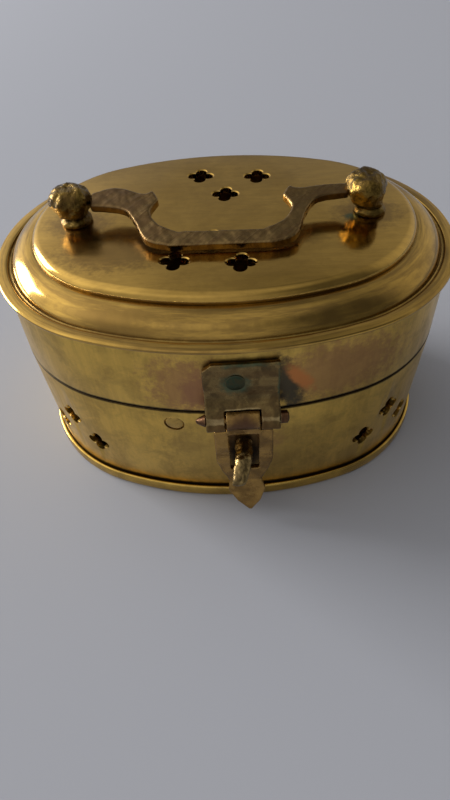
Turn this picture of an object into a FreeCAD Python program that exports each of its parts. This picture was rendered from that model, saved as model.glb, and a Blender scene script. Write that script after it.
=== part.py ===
"""Oval brass box with a moulded, pierced lid, a swinging bail handle, a rear hinge
and a hinged hasp that drops over a horn on the front wall.  Millimetres, +Z up.

The origin is on the underside, at the middle of the oval.  X runs along the long
axis, the hasp faces -Y and the rear hinge is on the +Y side."""

import FreeCAD, Part

import math
import os

V = FreeCAD.Vector
X_AXIS, Y_AXIS, Z_AXIS = V(1, 0, 0), V(0, 1, 0), V(0, 0, 1)

# ---- oval plan: four arcs, and every moulding is a parallel offset of them ----
HALF_LENGTH = 58.3
HALF_WIDTH = 43.0
SIDE_SWELL = 3.4           # how much wider the oval is than a slot with round ends

# ---- base ----
WALL = 1.6
FLOOR = 1.6
PAN_RIM_HEIGHT = 3.8
PAN_RIM_WALL = 1.2
PAN_RIM_ROUND = 0.5
FOOT_GAP = 0.15            # solder gap between the wall's foot and the pan's rim
SEAM_Z = 37.0              # top of the lower wall
WALL_TAPER = 1.65          # how far the wall leans in at its foot
SEAM_GAP = 0.4

# ---- inner collar that the lid closes over ----
COLLAR_DEPTH = 8.0         # below the seam
COLLAR_RISE = 3.2          # above the seam
COLLAR_WALL = 1.2
COLLAR_RIVET_DROP = 5.1    # rivet centre below the seam
COLLAR_RIVET_HEAD_R = 2.5
COLLAR_RIVET_SHANK_R = 1.5
COLLAR_RIVET_SINK = 1.1
COLLAR_RIVET_TAIL_R = 2.2
COLLAR_RIVET_TAIL = 0.7
COLLAR_RIVET_FRONT_X = -13.3
COLLAR_RIVET_REAR_X = 27.0

# ---- lid ----
SKIRT_HEIGHT = 20.2
LIP_OVERHANG = 1.7
LIP_THICKNESS = 1.3
LIP_WIDTH = 2.9            # flat of the lip, from its edge to the first groove
GROOVE_WIDTH = 1.2
GROOVE_DEPTH = 0.7
BAND_WIDTH = 6.2
BAND_RISE = 4.1
STEP_GROOVE = 0.4
SHOULDER_WIDTH = 2.15
SHOULDER_RISE = 2.5
LID_SHELL = 1.6
PLATE_LAP = 1.4            # flat ring that joins the moulding to the top plate

# ---- pierced quatrefoils ----
FOIL_LOBE_R = 1.55
FOIL_LOBE_REACH = 1.95
FOIL_CENTRE_R = 1.5
TRIAD_HALF_SPACING = 7.9
TRIAD_POINT = 9.8          # from the middle of a triad's pair to its third foil
LID_TRIAD_TURN = -5.0      # the pattern was struck a little askew
LID_TRIAD_REAR = (1.6, 19.9)     # middle of the rear pair
LID_TRIAD_FRONT = (-3.1, -20.8)  # and of the front pair
SIDE_TRIAD_ANGLE = 50.0    # from the long axis, about the centre of the end arc
SIDE_TRIAD_STEP = 11.3
SIDE_TRIAD_LOW_Z = 15.2
SIDE_TRIAD_HIGH_Z = 22.6

# ---- knobs that carry the handle ----
POST_INSET = 20.6          # from the wall's end to the knob's axis
POST_Y = -0.6
POST_COLLAR_R = 4.1
POST_COLLAR_HEIGHT = 1.6
POST_COLLAR_SLOPE = 0.8    # from the collar up to the narrowest part of the neck
POST_NECK_R = 2.9
POST_HEAD_R = 5.5
POST_HEIGHT = 11.4
POST_HEAD_RISE = 7.6       # widest part of the head, above the plate
POST_TENON_R = 1.8
POST_WASHER_R = 4.0
POST_WASHER = 1.1
POST_TAIL = 0.8            # riveted-over end of the tenon, under its washer
POST_TAIL_R = 2.6

# ---- handle ----
HANDLE_AXIS_RISE = 5.3     # pivot above the top plate
HANDLE_THICKNESS = 2.4
HANDLE_REACH = 17.2        # pivot to the bar's far edge
HANDLE_BAR = 4.5           # width of the bar
LEFT_ARM = (3.4, 4.4)      # how far the arm's hump and its front edge stand from the pivot
RIGHT_ARM = (1.6, 2.7)
HANDLE_ARM_GAP = 0.5       # end of the flat arm to the widest part of the knob
HANDLE_LID_GAP = 0.3
HANDLE_PIVOT_R = 1.15
HANDLE_PIVOT_DEPTH = 5.6   # how far the pivot runs past the arm's end
HANDLE_PIVOT_ROOT = 1.0    # and how far it begins inside the arm
HANDLE_CHEEK = 0.4         # plate beside the pivot where the arm ends
HANDLE_SCROLL_X = 15.4     # tip of the scroll
HANDLE_SCROLL_S = 1.5      # and its distance in front of the pivot
HANDLE_SHOULDER_X = 23.5   # where the arm turns towards the bar
PIVOT_CLEARANCE = 0.1

# ---- hinges: rolled knuckles on a plain pin ----
LEAF = 1.4
KNUCKLE_WALL_GAP = 0.35    # barrel to the wall behind it
KNUCKLE_END_GAP = 0.3
PIN_CLEARANCE = 0.08
BODY_GAP = 0.3

# ---- rear hinge ----
HINGE_LENGTH = 26.0
HINGE_LEAF_HEIGHT = 11.0
HINGE_BARREL_R = 2.4
HINGE_PIN_R = 1.2
HINGE_RIVET_X = 8.6
HINGE_RIVET_RISE = 7.0     # rivet centre above or below the pin

# ---- hasp ----
HASP_X = 4.1               # middle of the hasp along the front
HASP_HALF_WIDTH = 8.9
HASP_PIN_RISE = 1.0        # the pin's axis above the seam
HASP_CREASE_RISE = 5.7     # above the pin, where the plate turns outward to wrap it
HASP_TOP_RISE = 16.3       # top of the plate above the pin
HASP_BARREL_R = 2.7
HASP_TOE_REACH = 2.9       # corner of the wrap, ahead of the pin
HASP_TOE_DROP = 1.6        # and below it
HASP_PIN_R = 1.3
HASP_PIN_TAIL_LEFT = 2.6   # the pin's filed point
HASP_PIN_TAIL_RIGHT = 2.2  # and its thick end
HASP_PIN_TAIL_R = 1.7
HASP_MIDDLE_KNUCKLE = 8.0
HASP_RIVET_X = -1.4
HASP_RIVET_RISE = 10.8     # above the pin
HASP_LEAF = 1.5
HASP_LEAF_FORWARD = 0.9    # front face of the hanging leaf, ahead of the pin
HASP_LEAF_HALF_WIDTH = 7.3
HASP_SLOT_HALF_WIDTH = 3.7
HASP_SLOT_TOP = 5.2        # below the pin, as the next three
HASP_SLOT_BOTTOM = 19.2
HASP_WAIST = 15.5          # where the leaf begins to narrow
HASP_NECK = 24.2
HASP_NECK_HALF_WIDTH = 4.3
HASP_TAB_HALF_WIDTH = 5.0
HASP_TAB_SHOULDER = 3.8
HASP_TAB_LENGTH = 10.5
HASP_TAB_BEND = 20.0
HASP_TAB_SKEW = 1.0        # the hand-cut point lies this far to one side

# ---- horn ----
HORN_DEPTH = 12.4          # horn's root below the seam
HORN_REACH = 12.0          # beyond the wall
HORN_DROP = 2.4
HORN_LEAN = 2.3
HORN_ROOT_R = 2.1
HORN_TIP_R = 0.85
HORN_BOSS_R = 3.2
HORN_BOSS = 0.9
HORN_SHANK_R = 1.5
HORN_ARCH = 0.6            # rise of the horn's middle above its root
HORN_ROOT_SINK = 0.5       # start of the horn behind the wall's face
HORN_TAPER = 1.4           # above 1 keeps the root stout and thins the tip
HORN_SECTIONS = 6

# ---- rivets ----
RIVET_R = 1.25
RIVET_HEAD_R = 2.2
RIVET_HEAD = 1.0
RIVET_TAIL_R = 1.9
RIVET_TAIL = 0.6
WASHER_R = 3.2
WASHER = 0.9

# ---- worked out from the sizes above ----
END_RADIUS = HALF_WIDTH - SIDE_SWELL
END_X = HALF_LENGTH - END_RADIUS
SIDE_RADIUS = (END_X ** 2 + HALF_WIDTH ** 2 - END_RADIUS ** 2) / (2 * (HALF_WIDTH - END_RADIUS))
SIDE_Y = SIDE_RADIUS - HALF_WIDTH
JOIN_ANGLE = math.degrees(math.atan2(SIDE_Y, END_X))
TAPER_SLOPE = WALL_TAPER / (SEAM_Z - FLOOR)

SKIRT_Z = SEAM_Z + SEAM_GAP
LIP_Z = SKIRT_Z + SKIRT_HEIGHT
LIP_TOP_Z = LIP_Z + LIP_THICKNESS
BAND_TOP_Z = LIP_TOP_Z + BAND_RISE
PLATE_Z = BAND_TOP_Z + SHOULDER_RISE
PLATE_UNDER_Z = PLATE_Z - LID_SHELL

GROOVE_OFFSET = LIP_OVERHANG - LIP_WIDTH
BAND_FOOT_OFFSET = GROOVE_OFFSET - GROOVE_WIDTH
BAND_HEAD_OFFSET = BAND_FOOT_OFFSET - BAND_WIDTH
SHOULDER_OFFSET = BAND_HEAD_OFFSET - STEP_GROOVE
PLATE_OFFSET = SHOULDER_OFFSET - SHOULDER_WIDTH

PAN_RIM_OFFSET = FOOT_GAP + PAN_RIM_WALL - WALL_TAPER
COLLAR_OFFSET = -WALL - TAPER_SLOPE * COLLAR_DEPTH

POST_X = HALF_LENGTH - POST_INSET
HANDLE_ARM_END = POST_X - POST_HEAD_R - HANDLE_ARM_GAP

HINGE_Y = HALF_WIDTH + KNUCKLE_WALL_GAP + HINGE_BARREL_R
HINGE_Z = SEAM_Z + SEAM_GAP / 2
HASP_PIN_Y = -(HALF_WIDTH + BODY_GAP + HASP_BARREL_R)
HASP_PIN_Z = SEAM_Z + HASP_PIN_RISE
HASP_TOP_Z = HASP_PIN_Z + HASP_TOP_RISE
HASP_CREASE_Z = HASP_PIN_Z + HASP_CREASE_RISE
HASP_RIVET_Z = HASP_PIN_Z + HASP_RIVET_RISE
HASP_SHOULDER = math.hypot(HASP_TOE_REACH, HASP_TOE_DROP) + BODY_GAP
HORN_Z = SEAM_Z - HORN_DEPTH
HASP_ANGLE = math.degrees(math.asin(HASP_X / SIDE_RADIUS))

HANDLE_Z = PLATE_Z + HANDLE_AXIS_RISE
HANDLE_TILT = math.degrees(math.asin(
    (HANDLE_AXIS_RISE - HANDLE_THICKNESS / 2 - HANDLE_LID_GAP) / HANDLE_REACH))

TOOL = 200.0               # longer than the box, for cutting and trimming tools


# ---------------------------------------------------------------- the oval plan
def oval_arcs():
    """Centre and first angle, radius and sweep of the four arcs, counter-clockwise."""
    end_sweep = 2 * JOIN_ANGLE
    side_sweep = 180.0 - end_sweep
    return [
        (V(END_X, 0, 0), -JOIN_ANGLE, END_RADIUS, end_sweep),
        (V(0, -SIDE_Y, 0), JOIN_ANGLE, SIDE_RADIUS, side_sweep),
        (V(-END_X, 0, 0), 180 - JOIN_ANGLE, END_RADIUS, end_sweep),
        (V(0, SIDE_Y, 0), 180 + JOIN_ANGLE, SIDE_RADIUS, side_sweep),
    ]


def oval_slab(offset, z_low, z_high):
    """Solid oval plate, its edge at the given offset from the wall's oval."""
    edges = []
    for centre, start, radius, sweep in oval_arcs():
        middle = V(centre.x, centre.y, z_low)
        edges.append(Part.makeCircle(radius + offset, middle, Z_AXIS, start, start + sweep))
    face = Part.Face(Part.Wire(edges))
    return face.extrude(V(0, 0, z_high - z_low))


def oval_ring(profile):
    """Ring that carries one closed profile, a list of edges in (offset, 0, z), round the oval."""
    sectors = []
    for centre, start, radius, sweep in oval_arcs():
        face = Part.Face(Part.Wire([edge.copy() for edge in profile]))
        face.translate(V(radius, 0, 0))
        face.rotate(V(0, 0, 0), Z_AXIS, start)
        face.translate(centre)
        sectors.append(face.revolve(centre, Z_AXIS, sweep))
    return sectors[0].multiFuse(sectors[1:]).removeSplitter()


def at(offset, z):
    """Point of a ring profile."""
    return V(offset, 0, z)


def line(*points):
    """Chain of straight edges through the points."""
    return [Part.LineSegment(a, b).toShape() for a, b in zip(points, points[1:])]


def arc(first, middle, last):
    return Part.Arc(first, middle, last).toShape()


def solid_of(shape):
    """The one solid inside a boolean's result."""
    return shape.Solids[0] if len(shape.Solids) == 1 else shape


# ---------------------------------------------------------------- small helpers
def box(low, high):
    return Part.makeBox(high[0] - low[0], high[1] - low[1], high[2] - low[2], V(*low))


def barrel(radius, x_low, x_high, y, z):
    return Part.makeCylinder(radius, x_high - x_low, V(x_low, y, z), X_AXIS)


def prism(points, y_low, y_high):
    """Plate with its outline in (x, z), between two depths."""
    outline = [V(x, y_low, z) for x, z in points]
    face = Part.Face(Part.makePolygon(outline + outline[:1]))
    return face.extrude(V(0, y_high - y_low, 0))


def mirrored(points):
    """A half outline and its mirror image in x, as one closed loop."""
    return points + [(-x, z) for x, z in reversed(points)]


def round_the_front(shape, angle):
    """Carry a piece, made at the middle of the front, along the front arc."""
    shape = shape.copy()
    shape.rotate(V(0, SIDE_Y, 0), Z_AXIS, angle)
    return shape


def domed_head(radius, height, tip, outward):
    """Low dome whose flat side lies at the tip point and which swells outward."""
    ball_r = (radius ** 2 + height ** 2) / (2 * height)
    ball = Part.makeSphere(ball_r, tip + outward * (height - ball_r))
    return ball.common(Part.makeCylinder(radius + 1, height + 1, tip, outward))


def wall_offset(z):
    """Offset of the lower wall's outer face at a height."""
    return -TAPER_SLOPE * (SEAM_Z - z)


def through_rivet(x, z, outside, inside, head_outward):
    """Domed rivet along Y through everything between two faces, with an upset tail."""
    inward = head_outward * -1
    shank = Part.makeCylinder(RIVET_R, abs(outside - inside), V(x, outside, z), inward)
    tail = Part.makeCylinder(RIVET_TAIL_R, RIVET_TAIL, V(x, inside, z), inward)
    head = domed_head(RIVET_HEAD_R, RIVET_HEAD, V(x, outside, z), head_outward)
    return shank.multiFuse([tail, head]).removeSplitter()


# ---------------------------------------------------------------- pierced work
def quatrefoil(depth):
    """Four round lobes and a middle, standing along +Z from the origin."""
    lobes = [Part.makeCylinder(FOIL_CENTRE_R, depth)]
    for quarter in range(4):
        angle = math.radians(90 * quarter)
        centre = V(math.cos(angle), math.sin(angle), 0) * FOIL_LOBE_REACH
        lobes.append(Part.makeCylinder(FOIL_LOBE_R, depth, centre))
    return lobes[0].multiFuse(lobes[1:])


def lid_triads():
    """Piercing tools of the two triads in the top plate."""
    tools = []
    for (x, y), inward in ((LID_TRIAD_REAR, -1), (LID_TRIAD_FRONT, 1)):
        for along, across in ((-TRIAD_HALF_SPACING, 0), (TRIAD_HALF_SPACING, 0),
                              (0, inward * TRIAD_POINT)):
            tool = quatrefoil(4 * LID_SHELL)
            tool.translate(V(along, across, 0))
            tool.rotate(V(0, 0, 0), Z_AXIS, LID_TRIAD_TURN)
            tool.translate(V(x, y, PLATE_Z - 2 * LID_SHELL))
            tools.append(tool)
    return tools


def side_triads():
    """Piercing tools of the four triads in the lower wall, square to the end arcs."""
    tools = []
    spots = [(-SIDE_TRIAD_STEP, SIDE_TRIAD_LOW_Z), (SIDE_TRIAD_STEP, SIDE_TRIAD_LOW_Z),
             (0, SIDE_TRIAD_HIGH_Z)]
    for end in (-1, 1):
        for side in (-1, 1):
            middle = side * SIDE_TRIAD_ANGLE if end > 0 else 180 - side * SIDE_TRIAD_ANGLE
            for step, z in spots:
                tool = quatrefoil(END_RADIUS / 3)
                tool.rotate(V(0, 0, 0), Y_AXIS, 90)
                tool.translate(V(END_RADIUS * 5 / 6, 0, 0))
                tool.rotate(V(0, 0, 0), Z_AXIS, middle + step)
                tool.translate(V(end * END_X, 0, z))
                tools.append(tool)
    return tools


# ---------------------------------------------------------------- base pieces
def lower_body_solid():
    """The lower wall's outer form filled in, used to seat and trim what is fixed to it."""
    foot, top = wall_offset(0), wall_offset(SKIRT_Z)
    inner = -END_RADIUS / 2
    slope = line(at(inner, 0), at(foot, 0), at(top, SKIRT_Z), at(inner, SKIRT_Z), at(inner, 0))
    return oval_ring(slope).fuse(oval_slab(inner, 0, SKIRT_Z)).removeSplitter()


def make_base_pan():
    """Floor with a rolled rim that the lower wall stands in."""
    outer, inner = PAN_RIM_OFFSET, PAN_RIM_OFFSET - PAN_RIM_WALL
    r = PAN_RIM_ROUND
    k = r * (1 - math.sqrt(0.5))
    top = PAN_RIM_HEIGHT
    profile = line(at(inner - WALL, 0), at(outer - r, 0))
    profile.append(arc(at(outer - r, 0), at(outer - k, k), at(outer, r)))
    profile += line(at(outer, r), at(outer, top - r))
    profile.append(arc(at(outer, top - r), at(outer - k, top - k), at(outer - r, top)))
    profile += line(at(outer - r, top), at(inner, top), at(inner, FLOOR),
                    at(inner - WALL, FLOOR), at(inner - WALL, 0))
    rim = oval_ring(profile)
    return solid_of(rim.fuse(oval_slab(inner - WALL, 0, FLOOR)).removeSplitter())


def make_lower_wall():
    """Tapered wall, pierced with a triad of quatrefoils near each corner of the oval."""
    foot, top = wall_offset(FLOOR), wall_offset(SEAM_Z)
    profile = line(at(foot - WALL, FLOOR), at(foot, FLOOR), at(top, SEAM_Z),
                   at(top - WALL, SEAM_Z), at(foot - WALL, FLOOR))
    return oval_ring(profile).cut(Part.makeCompound(side_triads()))


def make_collar():
    """Straight ring inside the base; its foot meets the tapered wall."""
    low, high = SEAM_Z - COLLAR_DEPTH, SEAM_Z + COLLAR_RISE
    inner = COLLAR_OFFSET - COLLAR_WALL
    profile = line(at(inner, low), at(COLLAR_OFFSET, low), at(COLLAR_OFFSET, high),
                   at(inner, high), at(inner, low))
    return oval_ring(profile)


def make_collar_rivets(lower_body):
    """Countersunk rivets, flush with the wall, that hold the collar."""
    z = SEAM_Z - COLLAR_RIVET_DROP
    face = -(HALF_WIDTH + wall_offset(z))
    inside = -(HALF_WIDTH + COLLAR_OFFSET - COLLAR_WALL)
    head = Part.makeCone(COLLAR_RIVET_HEAD_R, COLLAR_RIVET_SHANK_R, COLLAR_RIVET_SINK,
                         V(0, face, z), Y_AXIS)
    proud = Part.makeCylinder(COLLAR_RIVET_HEAD_R, 1, V(0, face - 1, z), Y_AXIS)
    shank = Part.makeCylinder(COLLAR_RIVET_SHANK_R, inside - face, V(0, face, z), Y_AXIS)
    tail = Part.makeCylinder(COLLAR_RIVET_TAIL_R, COLLAR_RIVET_TAIL, V(0, inside, z), Y_AXIS)
    rivet = shank.multiFuse([head, proud, tail]).common(lower_body).removeSplitter()
    rivets = []
    for x, rear in ((COLLAR_RIVET_FRONT_X, False), (-COLLAR_RIVET_REAR_X, True),
                    (COLLAR_RIVET_REAR_X, True)):
        placed = round_the_front(rivet, math.degrees(math.asin(x / SIDE_RADIUS)))
        if rear:
            placed.rotate(V(0, 0, 0), Z_AXIS, 180)
        rivets.append(solid_of(placed))
    return rivets


# ---------------------------------------------------------------- lid pieces
def make_lid_top():
    """Moulded top: lip, groove, convex band, step and shoulder round a pierced plate."""
    r = LIP_THICKNESS / 2
    lip_mid = LIP_Z + r
    band_mid = at(BAND_FOOT_OFFSET - BAND_WIDTH * 0.32, LIP_TOP_Z + BAND_RISE * 0.66)
    shoulder_mid = at(SHOULDER_OFFSET - SHOULDER_WIDTH * 0.3, BAND_TOP_Z + SHOULDER_RISE * 0.74)
    join = PLATE_OFFSET - PLATE_LAP
    groove_floor = LIP_TOP_Z - GROOVE_DEPTH
    profile = [arc(at(LIP_OVERHANG - r, LIP_Z), at(LIP_OVERHANG, lip_mid),
                   at(LIP_OVERHANG - r, LIP_TOP_Z))]
    profile += line(at(LIP_OVERHANG - r, LIP_TOP_Z), at(GROOVE_OFFSET, LIP_TOP_Z),
                    at(GROOVE_OFFSET - GROOVE_WIDTH / 4, groove_floor),
                    at(BAND_FOOT_OFFSET + GROOVE_WIDTH / 4, groove_floor),
                    at(BAND_FOOT_OFFSET, LIP_TOP_Z))
    profile.append(arc(at(BAND_FOOT_OFFSET, LIP_TOP_Z), band_mid, at(BAND_HEAD_OFFSET, BAND_TOP_Z)))
    profile += line(at(BAND_HEAD_OFFSET, BAND_TOP_Z), at(SHOULDER_OFFSET, BAND_TOP_Z))
    profile.append(arc(at(SHOULDER_OFFSET, BAND_TOP_Z), shoulder_mid, at(PLATE_OFFSET, PLATE_Z)))
    profile += line(at(PLATE_OFFSET, PLATE_Z), at(join, PLATE_Z), at(join, PLATE_UNDER_Z),
                    at(PLATE_OFFSET, PLATE_UNDER_Z),
                    at(SHOULDER_OFFSET - LID_SHELL / 2, BAND_TOP_Z - LID_SHELL),
                    at(BAND_HEAD_OFFSET, BAND_TOP_Z - LID_SHELL),
                    at(BAND_FOOT_OFFSET - LID_SHELL, LIP_TOP_Z),
                    at(BAND_FOOT_OFFSET - LID_SHELL / 2, LIP_Z),
                    at(LIP_OVERHANG - r, LIP_Z))
    shell = oval_ring(profile).fuse(oval_slab(join, PLATE_UNDER_Z, PLATE_Z)).removeSplitter()
    return shell.cut(Part.makeCompound(lid_triads()))


def make_lid_skirt():
    """Straight band under the moulded top."""
    profile = line(at(-WALL, SKIRT_Z), at(0, SKIRT_Z), at(0, LIP_Z), at(-WALL, LIP_Z),
                   at(-WALL, SKIRT_Z))
    return oval_ring(profile)


def make_post(side):
    """Cast knob with a collar, a neck and a swelling head; its tenon goes through the plate."""
    neck_z = POST_COLLAR_HEIGHT + POST_COLLAR_SLOPE
    below = LID_SHELL + POST_WASHER
    swell = at(POST_NECK_R + (POST_HEAD_R - POST_NECK_R) * 0.56, (neck_z + POST_HEAD_RISE) / 2)
    dome_rise = POST_HEIGHT - POST_HEAD_RISE
    dome_r = (POST_HEAD_R ** 2 + dome_rise ** 2) / (2 * dome_rise)
    half_turn = math.asin(POST_HEAD_R / dome_r) / 2
    dome = at(dome_r * math.sin(half_turn), POST_HEIGHT - dome_r * (1 - math.cos(half_turn)))
    profile = line(at(0, -below), at(POST_TENON_R, -below), at(POST_TENON_R, 0),
                   at(POST_COLLAR_R, 0), at(POST_COLLAR_R, POST_COLLAR_HEIGHT),
                   at(POST_NECK_R, neck_z))
    profile.append(arc(at(POST_NECK_R, neck_z), swell, at(POST_HEAD_R, POST_HEAD_RISE)))
    profile.append(arc(at(POST_HEAD_R, POST_HEAD_RISE), dome, at(0, POST_HEIGHT)))
    profile += line(at(0, POST_HEIGHT), at(0, -below))
    post = Part.Face(Part.Wire(profile)).revolve(V(0, 0, 0), Z_AXIS, 360)
    tail = Part.makeCylinder(POST_TAIL_R, POST_TAIL, V(0, 0, -below - POST_TAIL))
    post = post.fuse(tail).removeSplitter()
    bore_end = HANDLE_PIVOT_DEPTH - HANDLE_ARM_GAP - POST_HEAD_R + BODY_GAP
    bore = barrel(HANDLE_PIVOT_R + PIVOT_CLEARANCE, -bore_end, TOOL, 0, HANDLE_AXIS_RISE)
    if side > 0:
        bore.rotate(V(0, 0, 0), Z_AXIS, 180)
    post = post.cut(bore)
    post.translate(V(side * POST_X, POST_Y, PLATE_Z))
    return solid_of(post)


def make_post_washers():
    """Washers under the plate, on the posts' tenons."""
    washers = []
    for side in (-1, 1):
        centre = V(side * POST_X, POST_Y, PLATE_UNDER_Z - POST_WASHER)
        disc = Part.makeCylinder(POST_WASHER_R, POST_WASHER, centre)
        washers.append(disc.cut(Part.makeCylinder(POST_TENON_R, POST_WASHER, centre)))
    return washers


def post_tenon_holes():
    return [Part.makeCylinder(POST_TENON_R, 4 * LID_SHELL,
                              V(side * POST_X, POST_Y, PLATE_Z - 2 * LID_SHELL))
            for side in (-1, 1)]


# ---------------------------------------------------------------- handle
def spline(points):
    curve = Part.BSplineCurve()
    curve.interpolate([V(x, -s, 0) for x, s in points])
    return curve.toShape()


def handle_half(side, hump_s, front_s):
    """Edges of one half of the bail's outline, in (x, s): s runs forward from the pivots' axis."""
    arm_end = HANDLE_ARM_END
    root_s = HANDLE_PIVOT_R + HANDLE_CHEEK
    bar_inner = HANDLE_REACH - HANDLE_BAR
    hump_x = (arm_end + HANDLE_SHOULDER_X) / 2 - 1.2
    valley_x = (HANDLE_SCROLL_X + HANDLE_SHOULDER_X) / 2
    top = [(arm_end, -root_s), (hump_x, -hump_s), (valley_x, -root_s / 2),
           (HANDLE_SCROLL_X + 1.7, -root_s), (HANDLE_SCROLL_X, HANDLE_SCROLL_S)]
    inside = [(HANDLE_SCROLL_X, HANDLE_SCROLL_S), (HANDLE_SCROLL_X + 1.9, HANDLE_SCROLL_S + 4.2),
              (HANDLE_SCROLL_X - 0.4, bar_inner - 2.7), (HANDLE_SCROLL_X - 5.2, bar_inner)]
    outside = [(HANDLE_SCROLL_X - 3.4, HANDLE_REACH), (HANDLE_SCROLL_X + 2.4, HANDLE_REACH - 2.2),
               (HANDLE_SHOULDER_X - 2.6, front_s + 4.4), (HANDLE_SHOULDER_X + 0.8, front_s),
               (arm_end, max(front_s - 1.6, root_s))]
    edges = [spline([(side * x, s) for x, s in points]) for points in (top, inside, outside)]
    edges += line(V(side * arm_end, root_s, 0), V(side * arm_end, -outside[-1][1], 0))
    edges += line(V(side * inside[-1][0], -bar_inner, 0), V(0, -bar_inner, 0))
    edges += line(V(side * outside[0][0], -HANDLE_REACH, 0), V(0, -HANDLE_REACH, 0))
    return edges


def make_handle():
    """Flat cut bail: arms with a hump and a scroll, a straight bar, and round pivots."""
    edges = handle_half(-1, *LEFT_ARM) + handle_half(1, *RIGHT_ARM)
    face = Part.Face(Part.Wire(Part.__sortEdges__(edges)))
    plate = face.extrude(V(0, 0, HANDLE_THICKNESS))
    plate.translate(V(0, 0, -HANDLE_THICKNESS / 2))
    pivots = [barrel(HANDLE_PIVOT_R, low, low + HANDLE_PIVOT_DEPTH + HANDLE_PIVOT_ROOT, 0, 0)
              for low in (HANDLE_ARM_END - HANDLE_PIVOT_ROOT, -HANDLE_ARM_END - HANDLE_PIVOT_DEPTH)]
    handle = plate.multiFuse(pivots).removeSplitter()
    handle.rotate(V(0, 0, 0), X_AXIS, HANDLE_TILT)
    handle.translate(V(0, POST_Y, HANDLE_Z))
    return solid_of(handle)


# ---------------------------------------------------------------- rear hinge
def hinge_knuckles():
    """Spans along X of the lid's two knuckles and the base's middle one."""
    third = HINGE_LENGTH / 3
    half = HINGE_LENGTH / 2
    inner = third / 2 + KNUCKLE_END_GAP / 2
    return [(-half, -inner), (inner, half)], [(-third / 2 + KNUCKLE_END_GAP / 2,
                                               third / 2 - KNUCKLE_END_GAP / 2)]


def make_hinge_leaf(upward):
    """Leaf against the rear wall with its share of the knuckles."""
    lid_spans, base_spans = hinge_knuckles()
    own, other = (lid_spans, base_spans) if upward else (base_spans, lid_spans)
    direction = 1 if upward else -1
    root, tip = HINGE_Z + direction * BODY_GAP, HINGE_Z + direction * HINGE_LEAF_HEIGHT
    plate = box((-HINGE_LENGTH / 2, HALF_WIDTH, min(root, tip)),
                (HINGE_LENGTH / 2, HALF_WIDTH + LEAF, max(root, tip)))
    clear = HINGE_BARREL_R + BODY_GAP
    leaf = plate
    for low, high in other:
        leaf = leaf.cut(box((low - KNUCKLE_END_GAP, HALF_WIDTH - 1, HINGE_Z - clear),
                            (high + KNUCKLE_END_GAP, HALF_WIDTH + 2 * LEAF, HINGE_Z + clear)))
    leaf = leaf.multiFuse([barrel(HINGE_BARREL_R, low, high, HINGE_Y, HINGE_Z)
                           for low, high in own])
    bore_r = HINGE_PIN_R + (PIN_CLEARANCE if upward else 0)
    return leaf.cut(barrel(bore_r, -TOOL, TOOL, HINGE_Y, HINGE_Z)).removeSplitter()


def make_hinge_pin():
    return barrel(HINGE_PIN_R, -HINGE_LENGTH / 2, HINGE_LENGTH / 2, HINGE_Y, HINGE_Z)


def make_hinge_rivets(upward):
    """Two domed rivets through one leaf and the wall behind it."""
    z = HINGE_Z + (HINGE_RIVET_RISE if upward else -HINGE_RIVET_RISE)
    bulge = SIDE_RADIUS - math.sqrt(SIDE_RADIUS ** 2 - (HINGE_RIVET_X + RIVET_TAIL_R) ** 2)
    deep = WALL + bulge if upward else COLLAR_WALL - COLLAR_OFFSET + bulge
    return [through_rivet(x, z, HALF_WIDTH + LEAF, HALF_WIDTH - deep, Y_AXIS)
            for x in (-HINGE_RIVET_X, HINGE_RIVET_X)]


# ---------------------------------------------------------------- hasp
def hasp_side_spans():
    inner = HASP_MIDDLE_KNUCKLE / 2 + KNUCKLE_END_GAP
    return [(-HASP_HALF_WIDTH, -inner), (inner, HASP_HALF_WIDTH)]


def wrap_web(low, high, front):
    """Plate that slopes from the crease to its toe and turns back under the pin."""
    corners = [(front, HASP_CREASE_Z), (HASP_PIN_Y - HASP_TOE_REACH, HASP_PIN_Z - HASP_TOE_DROP),
               (HASP_PIN_Y, HASP_PIN_Z - HASP_BARREL_R), (HASP_PIN_Y, HASP_PIN_Z),
               (front + LEAF / 2, HASP_PIN_Z + HASP_BARREL_R / 2), (front + LEAF / 2, HASP_CREASE_Z)]
    outline = [V(low, y, z) for y, z in corners]
    return Part.Face(Part.makePolygon(outline + outline[:1])).extrude(V(high - low, 0, 0))


def make_hasp_upper_leaf():
    """Plate riveted to the lid's skirt, with two knuckles at its lower edge."""
    front = -(HALF_WIDTH + LEAF)
    plate = box((-HASP_HALF_WIDTH, front, HASP_PIN_Z), (HASP_HALF_WIDTH, -HALF_WIDTH, HASP_TOP_Z))
    inner = HASP_MIDDLE_KNUCKLE / 2 + KNUCKLE_END_GAP
    notch = box((-inner, -TOOL, HASP_PIN_Z - HASP_BARREL_R),
                (inner, 0, HASP_PIN_Z + HASP_BARREL_R + BODY_GAP))
    foot = box((-TOOL, front, 0), (TOOL, 0, SKIRT_Z + SEAM_GAP))
    plate = plate.fuse(wrap_web(-HASP_HALF_WIDTH, HASP_HALF_WIDTH, front)).cut(foot).cut(notch)
    ears = [barrel(HASP_BARREL_R, low, high, HASP_PIN_Y, HASP_PIN_Z)
            for low, high in hasp_side_spans()]
    ears += [wrap_web(low, high, front) for low, high in hasp_side_spans()]
    leaf = plate.multiFuse(ears)
    bore = barrel(HASP_PIN_R, -TOOL, TOOL, HASP_PIN_Y, HASP_PIN_Z)
    return round_the_front(solid_of(leaf.cut(bore).removeSplitter()), HASP_ANGLE)


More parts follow.
